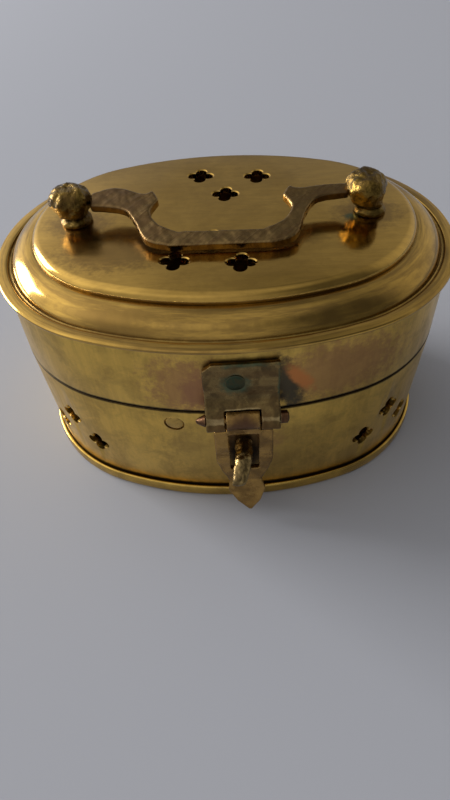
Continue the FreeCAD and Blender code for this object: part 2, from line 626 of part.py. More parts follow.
def make_hasp_pin():
    """Pin with a filed point at its left end and a thick end at its right."""
    pin = barrel(HASP_PIN_R, -HASP_HALF_WIDTH, HASP_HALF_WIDTH, HASP_PIN_Y, HASP_PIN_Z)
    thick = barrel(HASP_PIN_TAIL_R, HASP_HALF_WIDTH, HASP_HALF_WIDTH + HASP_PIN_TAIL_RIGHT,
                   HASP_PIN_Y, HASP_PIN_Z)
    point = Part.makeCone(HASP_PIN_TAIL_R, HASP_PIN_TAIL_R / 3, HASP_PIN_TAIL_LEFT,
                          V(-HASP_HALF_WIDTH, HASP_PIN_Y, HASP_PIN_Z), X_AXIS * -1)
    return round_the_front(solid_of(pin.multiFuse([thick, point]).removeSplitter()), HASP_ANGLE)


def make_hasp_lower_leaf():
    """Hanging leaf: middle knuckle, slot for the horn, and a pointed thumb tab bent outward."""
    front = HASP_PIN_Y - HASP_LEAF_FORWARD
    back = front + HASP_LEAF
    shoulder_z = HASP_PIN_Z - HASP_SHOULDER
    waist_z, neck_z = HASP_PIN_Z - HASP_WAIST, HASP_PIN_Z - HASP_NECK
    mid_z = (waist_z + neck_z) / 2
    mid_half = (HASP_LEAF_HALF_WIDTH + HASP_NECK_HALF_WIDTH) / 2
    half_knuckle = HASP_MIDDLE_KNUCKLE / 2
    outline = mirrored([(half_knuckle, HASP_PIN_Z), (half_knuckle, shoulder_z),
                        (HASP_LEAF_HALF_WIDTH, shoulder_z), (HASP_LEAF_HALF_WIDTH, waist_z),
                        (mid_half, mid_z), (HASP_NECK_HALF_WIDTH, neck_z)])
    plate = prism(outline, front, back)
    side = [(HASP_NECK_HALF_WIDTH, 0), (HASP_TAB_HALF_WIDTH, HASP_TAB_SHOULDER),
            (HASP_TAB_HALF_WIDTH * 0.6, HASP_TAB_LENGTH * 0.72), (HASP_LEAF / 4, HASP_TAB_LENGTH)]
    skew = HASP_TAB_SKEW / HASP_TAB_LENGTH
    tab = prism([(x + drop * skew, neck_z - drop) for x, drop in mirrored(side)], front, back)
    tab.rotate(V(0, back, neck_z), X_AXIS, -HASP_TAB_BEND)
    slot = box((-HASP_SLOT_HALF_WIDTH, front - 1, HASP_PIN_Z - HASP_SLOT_BOTTOM),
               (HASP_SLOT_HALF_WIDTH, back + 1, HASP_PIN_Z - HASP_SLOT_TOP))
    knuckle = barrel(HASP_BARREL_R, -half_knuckle, half_knuckle, HASP_PIN_Y, HASP_PIN_Z)
    bore = barrel(HASP_PIN_R + PIN_CLEARANCE, -TOOL, TOOL, HASP_PIN_Y, HASP_PIN_Z)
    leaf = plate.multiFuse([tab, knuckle]).cut(slot).cut(bore).removeSplitter()
    return round_the_front(solid_of(leaf), HASP_ANGLE)


def make_hasp_rivet():
    inside = -(HALF_WIDTH - WALL - WASHER)
    rivet = through_rivet(HASP_RIVET_X, HASP_RIVET_Z, -(HALF_WIDTH + LEAF), inside, Y_AXIS * -1)
    return round_the_front(rivet, HASP_ANGLE)


def make_inside_washer(x, z, wall_face, seat):
    """Washer against the inside of a front wall, trimmed to the wall's curve."""
    disc = Part.makeCylinder(WASHER_R, WASHER + WALL / 2, V(x, wall_face - WALL / 2, z), Y_AXIS)
    return round_the_front(disc, HASP_ANGLE).cut(seat)


# ---------------------------------------------------------------- horn
def make_horn(lower_body):
    """Tapering horn that reaches out through the slot, drooping and leaning to one side."""
    face = -(HALF_WIDTH + wall_offset(HORN_Z))
    inside = face + WALL + WASHER
    sections = []
    for index in range(HORN_SECTIONS + 1):
        t = index / HORN_SECTIONS
        radius = HORN_ROOT_R + (HORN_TIP_R - HORN_ROOT_R) * t ** HORN_TAPER
        centre = V(-HORN_LEAN * t ** 2, face + HORN_ROOT_SINK - (HORN_REACH + HORN_ROOT_SINK) * t,
                   HORN_Z + HORN_ARCH * math.sin(math.pi * t) - HORN_DROP * t ** 2)
        sections.append(Part.Wire(Part.makeCircle(radius, centre, Y_AXIS)))
    horn = Part.makeLoft(sections, True)
    boss = Part.makeCylinder(HORN_BOSS_R, HORN_BOSS + WALL / 2, V(0, face - HORN_BOSS, HORN_Z), Y_AXIS)
    outer = horn.fuse(boss)
    outer = round_the_front(outer, HASP_ANGLE).cut(lower_body)
    shank = Part.makeCylinder(HORN_SHANK_R, inside - face + HORN_BOSS, V(0, face - HORN_BOSS, HORN_Z),
                              Y_AXIS)
    tail = Part.makeCylinder(RIVET_TAIL_R, RIVET_TAIL, V(0, inside, HORN_Z), Y_AXIS)
    inner = round_the_front(shank.fuse(tail), HASP_ANGLE)
    return solid_of(outer.fuse(inner).removeSplitter())


# ---------------------------------------------------------------- assembly
def build():
    """Every node's shape, with each fastener's hole cut by the fastener itself."""
    lower_body = lower_body_solid()
    skirt = make_lid_skirt()
    lower_wall = make_lower_wall()
    collar = make_collar()
    collar_rivets = make_collar_rivets(lower_body)
    horn = make_horn(lower_body)
    base_rivets = make_hinge_rivets(False)
    lid_rivets = make_hinge_rivets(True)
    hasp_rivet = make_hasp_rivet()
    horn_face = -(HALF_WIDTH + wall_offset(HORN_Z) - WALL)

    parts = {
        "base_pan": make_base_pan(),
        "lower_wall": lower_wall.cut(Part.makeCompound(collar_rivets + base_rivets + [horn])),
        "inner_collar": collar.cut(Part.makeCompound(collar_rivets + base_rivets)),
        "collar_rivets": Part.makeCompound(collar_rivets),
        "latch_horn": horn,
        "latch_horn_washer": make_inside_washer(0, HORN_Z, horn_face, lower_wall).cut(horn),
        "hinge_base_leaf": make_hinge_leaf(False).cut(Part.makeCompound(base_rivets)),
        "hinge_base_rivets": Part.makeCompound(base_rivets),
        "hinge_pin": make_hinge_pin(),
        "lid_top": make_lid_top().cut(Part.makeCompound(post_tenon_holes())),
        "lid_skirt": skirt.cut(Part.makeCompound(lid_rivets + [hasp_rivet])),
        "hinge_lid_leaf": make_hinge_leaf(True).cut(Part.makeCompound(lid_rivets)),
        "hinge_lid_rivets": Part.makeCompound(lid_rivets),
        "left_post": make_post(-1),
        "right_post": make_post(1),
        "post_washers": Part.makeCompound(make_post_washers()),
        "hasp_upper_leaf": make_hasp_upper_leaf().cut(hasp_rivet),
        "hasp_rivet": hasp_rivet,
        "hasp_rivet_washer": make_inside_washer(
            HASP_RIVET_X, HASP_RIVET_Z, -(HALF_WIDTH - WALL), skirt).cut(hasp_rivet),
        "hasp_pin": make_hasp_pin(),
        "hasp_lower_leaf": make_hasp_lower_leaf(),
        "handle": make_handle(),
    }
    return parts


def main():
    os.makedirs("parts", exist_ok=True)
    for name, shape in build().items():
        shape.exportStep(f"parts/{name}.step")


main()
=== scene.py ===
"""Looks of an oval brass box with a pierced, moulded lid, a bail handle between cast knobs,
a rear hinge and a hasp over a horn.  Metres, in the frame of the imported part."""

import math

import bpy
from mathutils import Matrix, Vector


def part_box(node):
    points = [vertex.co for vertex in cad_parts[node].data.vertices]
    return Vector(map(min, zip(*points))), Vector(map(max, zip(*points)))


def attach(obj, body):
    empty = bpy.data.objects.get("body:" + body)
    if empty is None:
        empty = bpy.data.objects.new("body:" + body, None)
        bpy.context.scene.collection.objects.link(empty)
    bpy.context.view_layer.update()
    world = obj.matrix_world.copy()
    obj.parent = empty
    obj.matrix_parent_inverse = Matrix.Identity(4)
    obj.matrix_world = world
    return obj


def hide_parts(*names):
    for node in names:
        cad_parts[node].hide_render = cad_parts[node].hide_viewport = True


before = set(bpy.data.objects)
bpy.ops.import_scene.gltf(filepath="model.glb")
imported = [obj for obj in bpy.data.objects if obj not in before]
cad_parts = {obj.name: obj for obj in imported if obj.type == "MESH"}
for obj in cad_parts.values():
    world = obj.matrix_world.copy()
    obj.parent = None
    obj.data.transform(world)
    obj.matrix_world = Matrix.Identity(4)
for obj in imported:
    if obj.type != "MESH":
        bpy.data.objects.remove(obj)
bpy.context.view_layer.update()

MM = 0.001
UP = Vector((0, 0, 1))
SPIN_AXIS = (0, 0, -1)     # spin turns clockwise about its axis, so this turns to the left
Z_TO_FRONT = Matrix.Rotation(math.radians(90), 4, "X")
Z_TO_REAR = Matrix.Rotation(math.radians(-90), 4, "X")
Z_TO_X = Matrix.Rotation(math.radians(90), 4, "Y")

# ---------------------------------------------------------------- sizes from the frame
WALL_LOW, WALL_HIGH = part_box("lower_wall")
PAN_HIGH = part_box("base_pan")[1]
SKIRT_LOW, SKIRT_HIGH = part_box("lid_skirt")
TOP_LOW, TOP_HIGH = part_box("lid_top")
POST_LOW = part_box("left_post")[0]

HALF_LENGTH, HALF_WIDTH = WALL_HIGH.x, WALL_HIGH.y
LIP_OVERHANG = TOP_HIGH.x - HALF_LENGTH
PAN_OFFSET = PAN_HIGH.x - HALF_LENGTH

# ---------------------------------------------------------------- the oval plan
SIDE_SWELL = 3.4 * MM
END_RADIUS = HALF_WIDTH - SIDE_SWELL
END_X = HALF_LENGTH - END_RADIUS
SIDE_RADIUS = (END_X ** 2 + HALF_WIDTH ** 2 - END_RADIUS ** 2) / (2 * SIDE_SWELL)
SIDE_Y = SIDE_RADIUS - HALF_WIDTH
JOIN_ANGLE = math.atan2(SIDE_Y, END_X)
END_STEPS = 64
SIDE_STEPS = 36


def plan_offset(co):
    """How far outside the wall's oval a point lies in plan; inside is negative."""
    x, y = abs(co.x), abs(co.y)
    if math.atan2(y, x - END_X) < JOIN_ANGLE:
        return math.hypot(x - END_X, y) - END_RADIUS
    return math.hypot(x, y + SIDE_Y) - SIDE_RADIUS


def round_side(x):
    """Matrix that carries what stands at the middle of the front to x along the curved side."""
    return (Matrix.Translation((0, SIDE_Y, 0))
            @ Matrix.Rotation(math.asin(x / SIDE_RADIUS), 4, "Z")
            @ Matrix.Translation((0, -SIDE_Y, 0)))


# ---------------------------------------------------------------- sheet
WALL = 1.6 * MM
WALL_TAPER = 1.65 * MM
EDGE = 0.25 * MM           # rounding of a sheet's rubbed edge


def wall_offset(z):
    """Offset of the leaning lower wall at a height."""
    return -WALL_TAPER * (WALL_HIGH.z - z) / (WALL_HIGH.z - WALL_LOW.z)


# ---------------------------------------------------------------- modelling helpers
def select_only(*pieces):
    bpy.ops.object.select_all(action="DESELECT")
    for piece in pieces:
        piece.select_set(True)
    bpy.context.view_layer.objects.active = pieces[-1]


def edit(piece):
    """Edit mode on one piece, with nothing in it selected."""
    select_only(piece)
    bpy.ops.object.mode_set(mode="EDIT")
    bpy.ops.mesh.select_all(action="DESELECT")


def leave_edit():
    bpy.ops.object.mode_set(mode="OBJECT")


def pick(piece, mode, wanted):
    """In edit mode, select the elements whose place (and normal, for faces) pass the test."""
    bpy.ops.mesh.select_mode(type=mode)
    bpy.ops.mesh.select_all(action="DESELECT")
    bpy.ops.object.mode_set(mode="OBJECT")
    mesh = piece.data
    if mode == "VERT":
        for vertex in mesh.vertices:
            vertex.select = wanted(vertex.co)
    else:
        for face in mesh.polygons:
            face.select = wanted(face.center, face.normal)
    bpy.ops.object.mode_set(mode="EDIT")


def start_chain(name, point):
    """New piece of one vertex, in edit mode, ready to be extruded or spun."""
    bpy.ops.object.select_all(action="DESELECT")
    bpy.ops.mesh.primitive_plane_add(size=MM, location=point)
    piece = bpy.context.active_object
    piece.name = name
    bpy.ops.object.transform_apply(location=True, rotation=False, scale=False)
    bpy.ops.object.mode_set(mode="EDIT")
    bpy.ops.mesh.select_mode(type="VERT")
    bpy.ops.mesh.select_all(action="SELECT")
    bpy.ops.mesh.merge(type="CENTER")
    return piece


def draw_chain(name, points):
    """New piece whose edges run through the points, its last vertex selected."""
    piece = start_chain(name, points[0])
    for here, there in zip(points, points[1:]):
        step = tuple(Vector(there) - Vector(here))
        bpy.ops.mesh.extrude_vertices_move(TRANSFORM_OT_translate={"value": step})
    return piece


def merge_doubles(distance=5e-6):
    bpy.ops.mesh.select_all(action="SELECT")
    bpy.ops.mesh.remove_doubles(threshold=distance)


def face_outward():
    bpy.ops.mesh.select_all(action="SELECT")
    bpy.ops.mesh.normals_make_consistent(inside=False)


def apply_modifier(piece, kind, **settings):
    select_only(piece)
    modifier = piece.modifiers.new(kind.title(), kind)
    for key, value in settings.items():
        setattr(modifier, key, value)
    bpy.ops.object.modifier_apply(modifier=modifier.name)


def smooth(piece, degrees=35):
    select_only(piece)
    bpy.ops.object.shade_smooth_by_angle(angle=math.radians(degrees))


def cut_with(piece, cutter):
    """Boolean difference; the cutter is used up."""
    apply_modifier(piece, "BOOLEAN", operation="DIFFERENCE", solver="EXACT", object=cutter)
    bpy.data.objects.remove(cutter)


def fuse(piece, other):
    """Boolean union; the other piece is used up."""
    apply_modifier(piece, "BOOLEAN", operation="UNION", solver="EXACT", object=other)
    bpy.data.objects.remove(other)


def joined(pieces):
    select_only(*pieces)
    bpy.ops.object.join()
    return bpy.context.view_layer.objects.active


def arc_points(first, middle, last, steps):
    """Points from first to last along the circle through all three, in (offset, z)."""
    (ax, ay), (bx, by), (cx, cy) = first, middle, last
    d = 2 * (ax * (by - cy) + bx * (cy - ay) + cx * (ay - by))
    ux = ((ax ** 2 + ay ** 2) * (by - cy) + (bx ** 2 + by ** 2) * (cy - ay)
          + (cx ** 2 + cy ** 2) * (ay - by)) / d
    uy = ((ax ** 2 + ay ** 2) * (cx - bx) + (bx ** 2 + by ** 2) * (ax - cx)
          + (cx ** 2 + cy ** 2) * (bx - ax)) / d
    radius = math.hypot(ax - ux, ay - uy)
    start = math.atan2(ay - uy, ax - ux)
    turn = (math.atan2(cy - uy, cx - ux) - start) % math.tau
    if (math.atan2(by - uy, bx - ux) - start) % math.tau > turn:
        turn -= math.tau
    return [(ux + radius * math.cos(start + turn * k / steps),
             uy + radius * math.sin(start + turn * k / steps)) for k in range(steps + 1)]


def rounded(points, radius, steps=3):
    """The points of a chain in (offset, z), with each inner corner rounded off."""
    out = [points[0]]
    for before, corner, after in zip(points, points[1:], points[2:]):
        a, b, c = Vector(before), Vector(corner), Vector(after)
        reach = min(radius, (a - b).length * 0.45, (c - b).length * 0.45)
        start, end = b + (a - b).normalized() * reach, b + (c - b).normalized() * reach
        for k in range(steps + 1):
            t = k / steps
            out.append(tuple(start.lerp(b, t).lerp(b.lerp(end, t), t)))
    return out + [points[-1]]


def oval_ring(name, profile, closed):
    """Ring that carries a profile in (offset, z) round the oval, in edit mode."""
    angle = -JOIN_ANGLE
    outward = Vector((math.cos(angle), math.sin(angle), 0))
    centre = Vector((END_X, 0, 0))
    places = [centre + outward * (END_RADIUS + offset) + UP * z for offset, z in profile]
    if closed:
        places.append(places[0])
    piece = draw_chain(name, places)
    merge_doubles(2e-6)
    bpy.ops.mesh.select_all(action="SELECT")
    end_sweep = 2 * JOIN_ANGLE
    side_sweep = math.pi - end_sweep
    for centre, sweep, steps in (((END_X, 0, 0), end_sweep, END_STEPS),
                                 ((0, -SIDE_Y, 0), side_sweep, SIDE_STEPS),
                                 ((-END_X, 0, 0), end_sweep, END_STEPS),
                                 ((0, SIDE_Y, 0), side_sweep, SIDE_STEPS)):
        bpy.ops.mesh.spin(steps=steps, angle=sweep, center=centre, axis=SPIN_AXIS)
    merge_doubles()
    return piece


def fill_inner_loop(piece, offset, z):
    """Face across the open loop of a ring that lies at one offset and height."""
    def on_loop(co):
        return abs(co.z - z) < 1e-5 and abs(plan_offset(co) - offset) < 2e-5
    pick(piece, "VERT", on_loop)
    bpy.ops.mesh.edge_face_add()


def cast_lumps(name, size, depth):
    """Cloud texture for a displacement."""
    texture = bpy.data.textures.new(name, "CLOUDS")
    texture.noise_scale = size
    texture.noise_depth = depth
    return texture


def roughen(piece, name, size, strength, depth, group=""):
    """Move a surface in and out by soft lumps of one size."""
    apply_modifier(piece, "DISPLACE", texture=cast_lumps(name, size, depth), strength=strength,
                   mid_level=0.5, texture_coords="LOCAL", vertex_group=group)


def file_edges(piece, width):
    """Round a cut sheet's sharp edges."""
    apply_modifier(piece, "BEVEL", width=width, segments=3, limit_method="ANGLE",
                   angle_limit=math.radians(50))


def melt(piece, voxel, passes):
    """Even skin over a piece, with its edges worn round."""
    apply_modifier(piece, "REMESH", mode="VOXEL", voxel_size=voxel)
    apply_modifier(piece, "SMOOTH", factor=0.5, iterations=passes)


def cylinder(name, radius, start, end, sides=32):
    """Rod between two points."""
    start, end = Vector(start), Vector(end)
    bpy.ops.object.select_all(action="DESELECT")
    bpy.ops.mesh.primitive_cylinder_add(vertices=sides, radius=radius, depth=(end - start).length)
    rod = bpy.context.active_object
    rod.name = name
    turn = (end - start).to_track_quat("Z", "Y").to_matrix().to_4x4()
    rod.data.transform(Matrix.Translation((start + end) / 2) @ turn)
    return rod


def rod_across(name, radius, low, high, y, z, sides=32):
    """Rod along x from low to high."""
    return cylinder(name, radius, (low, y, z), (high, y, z), sides)


def block(name, low, high):
    """Box between two corners."""
    low, high = Vector(low), Vector(high)
    bpy.ops.object.select_all(action="DESELECT")
    bpy.ops.mesh.primitive_cube_add(size=1)
    brick = bpy.context.active_object
    brick.name = name
    size = high - low
    brick.data.transform(Matrix.Translation((low + high) / 2)
                         @ Matrix.Diagonal((size.x, size.y, size.z, 1)))
    return brick


def turned_piece(name, profile, steps, place):
    """Solid turned from a profile in (r, z) that starts and ends on its axis."""
    piece = draw_chain(name, [(r, 0, z) for r, z in profile])
    bpy.ops.mesh.select_all(action="SELECT")
    bpy.ops.mesh.spin(steps=steps, angle=math.tau, center=(0, 0, 0), axis=SPIN_AXIS)
    merge_doubles()
    face_outward()
    leave_edit()
    piece.data.transform(place)
    return piece


def extruded(name, outline, direction):
    """Prism over a closed outline of points."""
    piece = draw_chain(name, outline)
    bpy.ops.mesh.select_all(action="SELECT")
    bpy.ops.mesh.edge_face_add()
    bpy.ops.mesh.extrude_region_move(TRANSFORM_OT_translate={"value": tuple(direction)})
    face_outward()
    leave_edit()
    return piece


# ---------------------------------------------------------------- quatrefoil cutters
FOIL_LOBE_R = 1.55 * MM
FOIL_LOBE_REACH = 1.95 * MM
FOIL_CHAMFER = 0.22 * MM
FOIL_DEPTH = 4.0 * MM
TRIAD_HALF_SPACING = 7.9 * MM
TRIAD_POINT = 9.8 * MM
LID_TRIAD_TURN = math.radians(-5)
LID_TRIAD_REAR = (1.6 * MM, 19.9 * MM)
LID_TRIAD_FRONT = (-3.1 * MM, -20.8 * MM)
SIDE_TRIAD_ANGLE = 50.0        # degrees about an end's centre, from the long axis
SIDE_TRIAD_STEP = 11.3
SIDE_TRIAD_LOW_Z = 15.2 * MM
SIDE_TRIAD_HIGH_Z = 22.6 * MM


def quatrefoil_cutter(place):
    """Four-lobed prism with a flared rim, its rim at the origin and its depth along -Z,
    carried to its place by a matrix."""
    corner = (FOIL_LOBE_REACH + math.sqrt(2 * FOIL_LOBE_R ** 2 - FOIL_LOBE_REACH ** 2)) / 2
    start = Vector((corner, -corner, 0))
    piece = start_chain("cutter", start)
    turn = 2 * (math.pi - math.atan2(corner, FOIL_LOBE_REACH - corner))
    for lobe in range(4):
        angle = math.radians(90 * lobe)
        centre = (FOIL_LOBE_REACH * math.cos(angle), FOIL_LOBE_REACH * math.sin(angle), 0)
        bpy.ops.mesh.spin(steps=12, angle=turn, center=centre, axis=SPIN_AXIS)
    merge_doubles()
    bpy.ops.mesh.select_all(action="SELECT")
    bpy.ops.mesh.edge_face_add()
    grow = 1 + 2 * FOIL_CHAMFER / FOIL_LOBE_REACH
    bpy.ops.mesh.extrude_region_move(TRANSFORM_OT_translate={"value": (0, 0, 2 * FOIL_CHAMFER)})
    bpy.ops.transform.resize(value=(grow, grow, 1), center_override=(0, 0, 0))
    pick(piece, "FACE", lambda co, normal: abs(co.z) < 1e-6 and abs(normal.z) > 0.9)
    bpy.ops.mesh.extrude_region_move(TRANSFORM_OT_translate={"value": (0, 0, -FOIL_DEPTH)})
    face_outward()
    leave_edit()
    piece.data.transform(place)
    return piece


def at_corner(radius, height, turn_deg, end_x):
    """Matrix that stands a cutter on a wall, facing out at an angle about an end's centre."""
    turn = Matrix.Rotation(math.radians(turn_deg), 4, "Z")
    return (Matrix.Translation((end_x, 0, height)) @ turn
            @ Matrix.Translation((radius, 0, 0)) @ Z_TO_X)


def lid_cutters():
    """The two triads of the top plate, joined to one cutter."""
    cutters = []
    for (x, y), inward in ((LID_TRIAD_REAR, -1), (LID_TRIAD_FRONT, 1)):
        middle = Matrix.Translation((x, y, TOP_HIGH.z - FOIL_CHAMFER))
        turned = middle @ Matrix.Rotation(LID_TRIAD_TURN, 4, "Z")
        for along, across in ((-TRIAD_HALF_SPACING, 0), (TRIAD_HALF_SPACING, 0),
                              (0, inward * TRIAD_POINT)):
            place = turned @ Matrix.Translation((along, across, 0))
            cutters.append(quatrefoil_cutter(place))
    return joined(cutters)


def wall_cutters():
    """The four triads of the lower wall."""
    cutters = []
    for end in (-1, 1):
        for side in (-1, 1):
            middle = side * SIDE_TRIAD_ANGLE if end > 0 else 180 - side * SIDE_TRIAD_ANGLE
            for step, z in ((-SIDE_TRIAD_STEP, SIDE_TRIAD_LOW_Z),
                            (SIDE_TRIAD_STEP, SIDE_TRIAD_LOW_Z), (0, SIDE_TRIAD_HIGH_Z)):
                radius = END_RADIUS + wall_offset(z) - FOIL_CHAMFER
                place = at_corner(radius, z, middle + step, end * END_X)
                cutters.append(quatrefoil_cutter(place))
    return joined(cutters)


# ---------------------------------------------------------------- shells of the box
COLLAR_RIVETS = ((-13.3 * MM, False), (-27.0 * MM, True), (27.0 * MM, True))    # x, rear side
COLLAR_RIVET_R = 2.35 * MM
COLLAR_RIVET_Z = WALL_HIGH.z - 5.1 * MM
POCKET_GAP = 0.3 * MM
POCKET_DEPTH = 0.6 * MM


def on_side(x, z, rear):
    """Matrix that stands a turned piece on a long side of the lower wall, facing out."""
    lean = math.atan2(WALL_TAPER, WALL_HIGH.z - WALL_LOW.z)
    stand = (Matrix.Translation((0, -(HALF_WIDTH + wall_offset(z)), z))
             @ Matrix.Rotation(math.radians(90) + lean, 4, "X"))
    half_turn = Matrix.Rotation(math.pi if rear else 0, 4, "Z")
    return half_turn @ round_side(x) @ stand


def make_lower_wall():
    """Leaning wall with rubbed edges, pierced at the corners of the oval."""
    low, high = WALL_LOW.z, WALL_HIGH.z
    foot = wall_offset(low)
    mid = (low + high) / 2
    chain = [(foot - WALL / 2, low), (foot, low), (wall_offset(mid), mid), (0, high),
             (-WALL, high), (wall_offset(mid) - WALL, mid), (foot - WALL, low),
             (foot - WALL / 2, low)]
    piece = oval_ring("lower_wall_shell", rounded(chain, EDGE)[:-1], True)
    face_outward()
    leave_edit()
    cut_with(piece, wall_cutters())
    for x, rear in COLLAR_RIVETS:
        pocket = cylinder("pocket", COLLAR_RIVET_R + POCKET_GAP, (0, 0, -POCKET_DEPTH),
                          (0, 0, 2 * MM))
        pocket.data.transform(on_side(x, COLLAR_RIVET_Z, rear))
        cut_with(piece, pocket)
    smooth(piece)
    return piece


def make_lid_skirt():
    """Straight band under the lip."""
    low, high = SKIRT_LOW.z, SKIRT_HIGH.z
    mid = (low + high) / 2
    chain = [(-WALL / 2, low), (0, low), (0, mid), (0, high), (-WALL, high), (-WALL, mid),
             (-WALL, low), (-WALL / 2, low)]
    piece = oval_ring("lid_skirt_band", rounded(chain, EDGE)[:-1], True)
    face_outward()
    leave_edit()
    smooth(piece)
    return piece


PAN_RIM_WALL = 1.2 * MM
PAN_FLOOR = 1.6 * MM
PAN_HEEL = (0.3 * MM, 0.9 * MM)    # how far its foot is drawn in, and up to what height
PAN_LEAN = 0.1 * MM
PAN_ROLL = 0.5 * MM


def make_base_pan():
    """Pan with a rounded rim that the wall stands in."""
    outer, inner = PAN_OFFSET, PAN_OFFSET - PAN_RIM_WALL
    top = PAN_HIGH.z
    heel_in, heel_rise = PAN_HEEL
    chain = [(inner - WALL, 0), (outer - heel_in, 0), (outer, heel_rise), (outer - PAN_LEAN, top),
             (inner, top), (inner, PAN_FLOOR), (inner - WALL, PAN_FLOOR)]
    piece = oval_ring("base_pan_rim", rounded(chain, PAN_ROLL), False)
    fill_inner_loop(piece, inner - WALL, 0)
    fill_inner_loop(piece, inner - WALL, PAN_FLOOR)
    face_outward()
    leave_edit()
    smooth(piece)
    return piece


LIP_THICKNESS = 1.3 * MM
GROOVE_OFFSET = LIP_OVERHANG - 2.9 * MM
GROOVE_WIDTH = 1.2 * MM
GROOVE_DEPTH = 0.7 * MM
GROOVE_ROLL = 0.35 * MM
BAND_WIDTH = 6.2 * MM
BAND_RISE = 4.1 * MM
STEP_GROOVE = 0.4 * MM
SHOULDER_WIDTH = 2.15 * MM


def make_lid_top():
    """Lip, groove, convex band, step and shoulder round the pierced plate."""
    lip_low, lip_high = TOP_LOW.z, TOP_LOW.z + LIP_THICKNESS
    band_top, plate_z = lip_high + BAND_RISE, TOP_HIGH.z
    band_foot = GROOVE_OFFSET - GROOVE_WIDTH
    band_head = band_foot - BAND_WIDTH
    shoulder = band_head - STEP_GROOVE
    plate = shoulder - SHOULDER_WIDTH
    shoulder_rise = plate_z - band_top
    r = LIP_THICKNESS / 2
    under = [(plate, plate_z - WALL), (shoulder - WALL / 2, band_top - WALL),
             (band_head, band_top - WALL), (band_foot - WALL, lip_high),
             (band_foot - WALL / 2, lip_low)]
    lip = arc_points((LIP_OVERHANG - r, lip_low), (LIP_OVERHANG, lip_low + r),
                     (LIP_OVERHANG - r, lip_high), 6)
    groove = rounded([(LIP_OVERHANG - r, lip_high), (GROOVE_OFFSET, lip_high),
                      (GROOVE_OFFSET - GROOVE_WIDTH / 4, lip_high - GROOVE_DEPTH),
                      (band_foot + GROOVE_WIDTH / 4, lip_high - GROOVE_DEPTH),
                      (band_foot, lip_high)], GROOVE_ROLL)
    band = arc_points((band_foot, lip_high),
                      (band_foot - BAND_WIDTH * 0.32, lip_high + BAND_RISE * 0.66),
                      (band_head, band_top), 12)
    step = arc_points((shoulder, band_top),
                      (shoulder - SHOULDER_WIDTH * 0.3, band_top + shoulder_rise * 0.74),
                      (plate, plate_z), 8)
    piece = oval_ring("lid_top_moulding", under + lip + groove[1:] + band[1:] + step, False)
    fill_inner_loop(piece, plate, plate_z)
    fill_inner_loop(piece, plate, plate_z - WALL)
    face_outward()
    leave_edit()
    cut_with(piece, lid_cutters())
    smooth(piece, 28)
    return piece


# ---------------------------------------------------------------- knobs
POST_X = 37.7 * MM
POST_Y = -0.6 * MM
PLATE_Z = TOP_HIGH.z
TENON_R = 1.8 * MM
KNOB_COLLAR_R = 4.0 * MM
KNOB_NECK_R = 3.3 * MM
KNOB_HEAD_R = 5.2 * MM
KNOB_HEIGHT = 10.9 * MM
KNOB_INWARD = 0.3 * MM         # how far off its post's axis a knob sits
KNOB_FORWARD = 0.5 * MM
KNOB_LEAN = {-1: (-0.1 * MM, -0.5 * MM, -1.0 * MM), 1: (-1.6 * MM, -0.9 * MM, -0.5 * MM)}
PIVOT_RISE = 5.3 * MM
PIVOT_R = 1.15 * MM
PIVOT_PLAY = 0.1 * MM


def make_knob(side):
    """Rough cast knob: collar, thick neck, swelling head, and the tenon through the plate."""
    below = POST_LOW.z - PLATE_Z
    swell_z = KNOB_HEIGHT * 0.68
    head = arc_points((KNOB_NECK_R, 2.0 * MM), (KNOB_HEAD_R * 0.82, 4.5 * MM),
                      (KNOB_HEAD_R, swell_z), 10)
    dome = arc_points((KNOB_HEAD_R, swell_z), (KNOB_HEAD_R * 0.76, KNOB_HEIGHT * 0.925),
                      (0, KNOB_HEIGHT), 12)
    collar = rounded([(TENON_R, 0), (KNOB_COLLAR_R, 0), (KNOB_COLLAR_R, 0.9 * MM),
                      (KNOB_NECK_R, 2.0 * MM)], 0.5 * MM)
    profile = [(0, below), (TENON_R * 1.4, below), (TENON_R, below + 0.8 * MM)] + collar
    profile += head[1:] + dome[1:]
    place = Matrix.Translation((side * (POST_X - KNOB_INWARD), POST_Y - KNOB_FORWARD, PLATE_Z))
    piece = turned_piece("left_knob" if side < 0 else "right_knob", profile, 56, place)
    cast = piece.vertex_groups.new(name="cast")
    for vertex in piece.data.vertices:
        rise = vertex.co.z - PLATE_Z
        cast.add([vertex.index], min(max(rise / (2 * MM), 0), 1), "REPLACE")
    roughen(piece, "knob_lumps", 4.0 * MM, 1.7 * MM, 1, "cast")
    roughen(piece, "knob_pits", 1.5 * MM, 0.7 * MM, 2, "cast")
    edit(piece)
    pick(piece, "VERT", lambda co: co.z > PLATE_Z + KNOB_HEIGHT * 0.45)
    bpy.ops.transform.translate(value=KNOB_LEAN[side], use_proportional_edit=True,
                                proportional_edit_falloff="SMOOTH",
                                proportional_size=KNOB_HEIGHT * 0.35)
    leave_edit()
    inner, blind = side * (POST_X - KNOB_HEAD_R - 3 * MM), side * (POST_X + 1 * MM)
    cut_with(piece, rod_across("bore", PIVOT_R + PIVOT_PLAY, inner, blind, POST_Y, HANDLE_Z))
    smooth(piece, 60)
    return piece


# ---------------------------------------------------------------- handle
HANDLE_THICKNESS = 2.4 * MM
HANDLE_REACH = 17.2 * MM
HANDLE_BAR = 4.5 * MM
HANDLE_TILT = math.radians(12.75)
HANDLE_Z = PLATE_Z + PIVOT_RISE
ARM_END = POST_X - 6.0 * MM
PIVOT_ROOT = 1.0 * MM
PIVOT_LENGTH = 5.4 * MM
SCROLL_X = 15.4 * MM
SHOULDER_X = 23.5 * MM


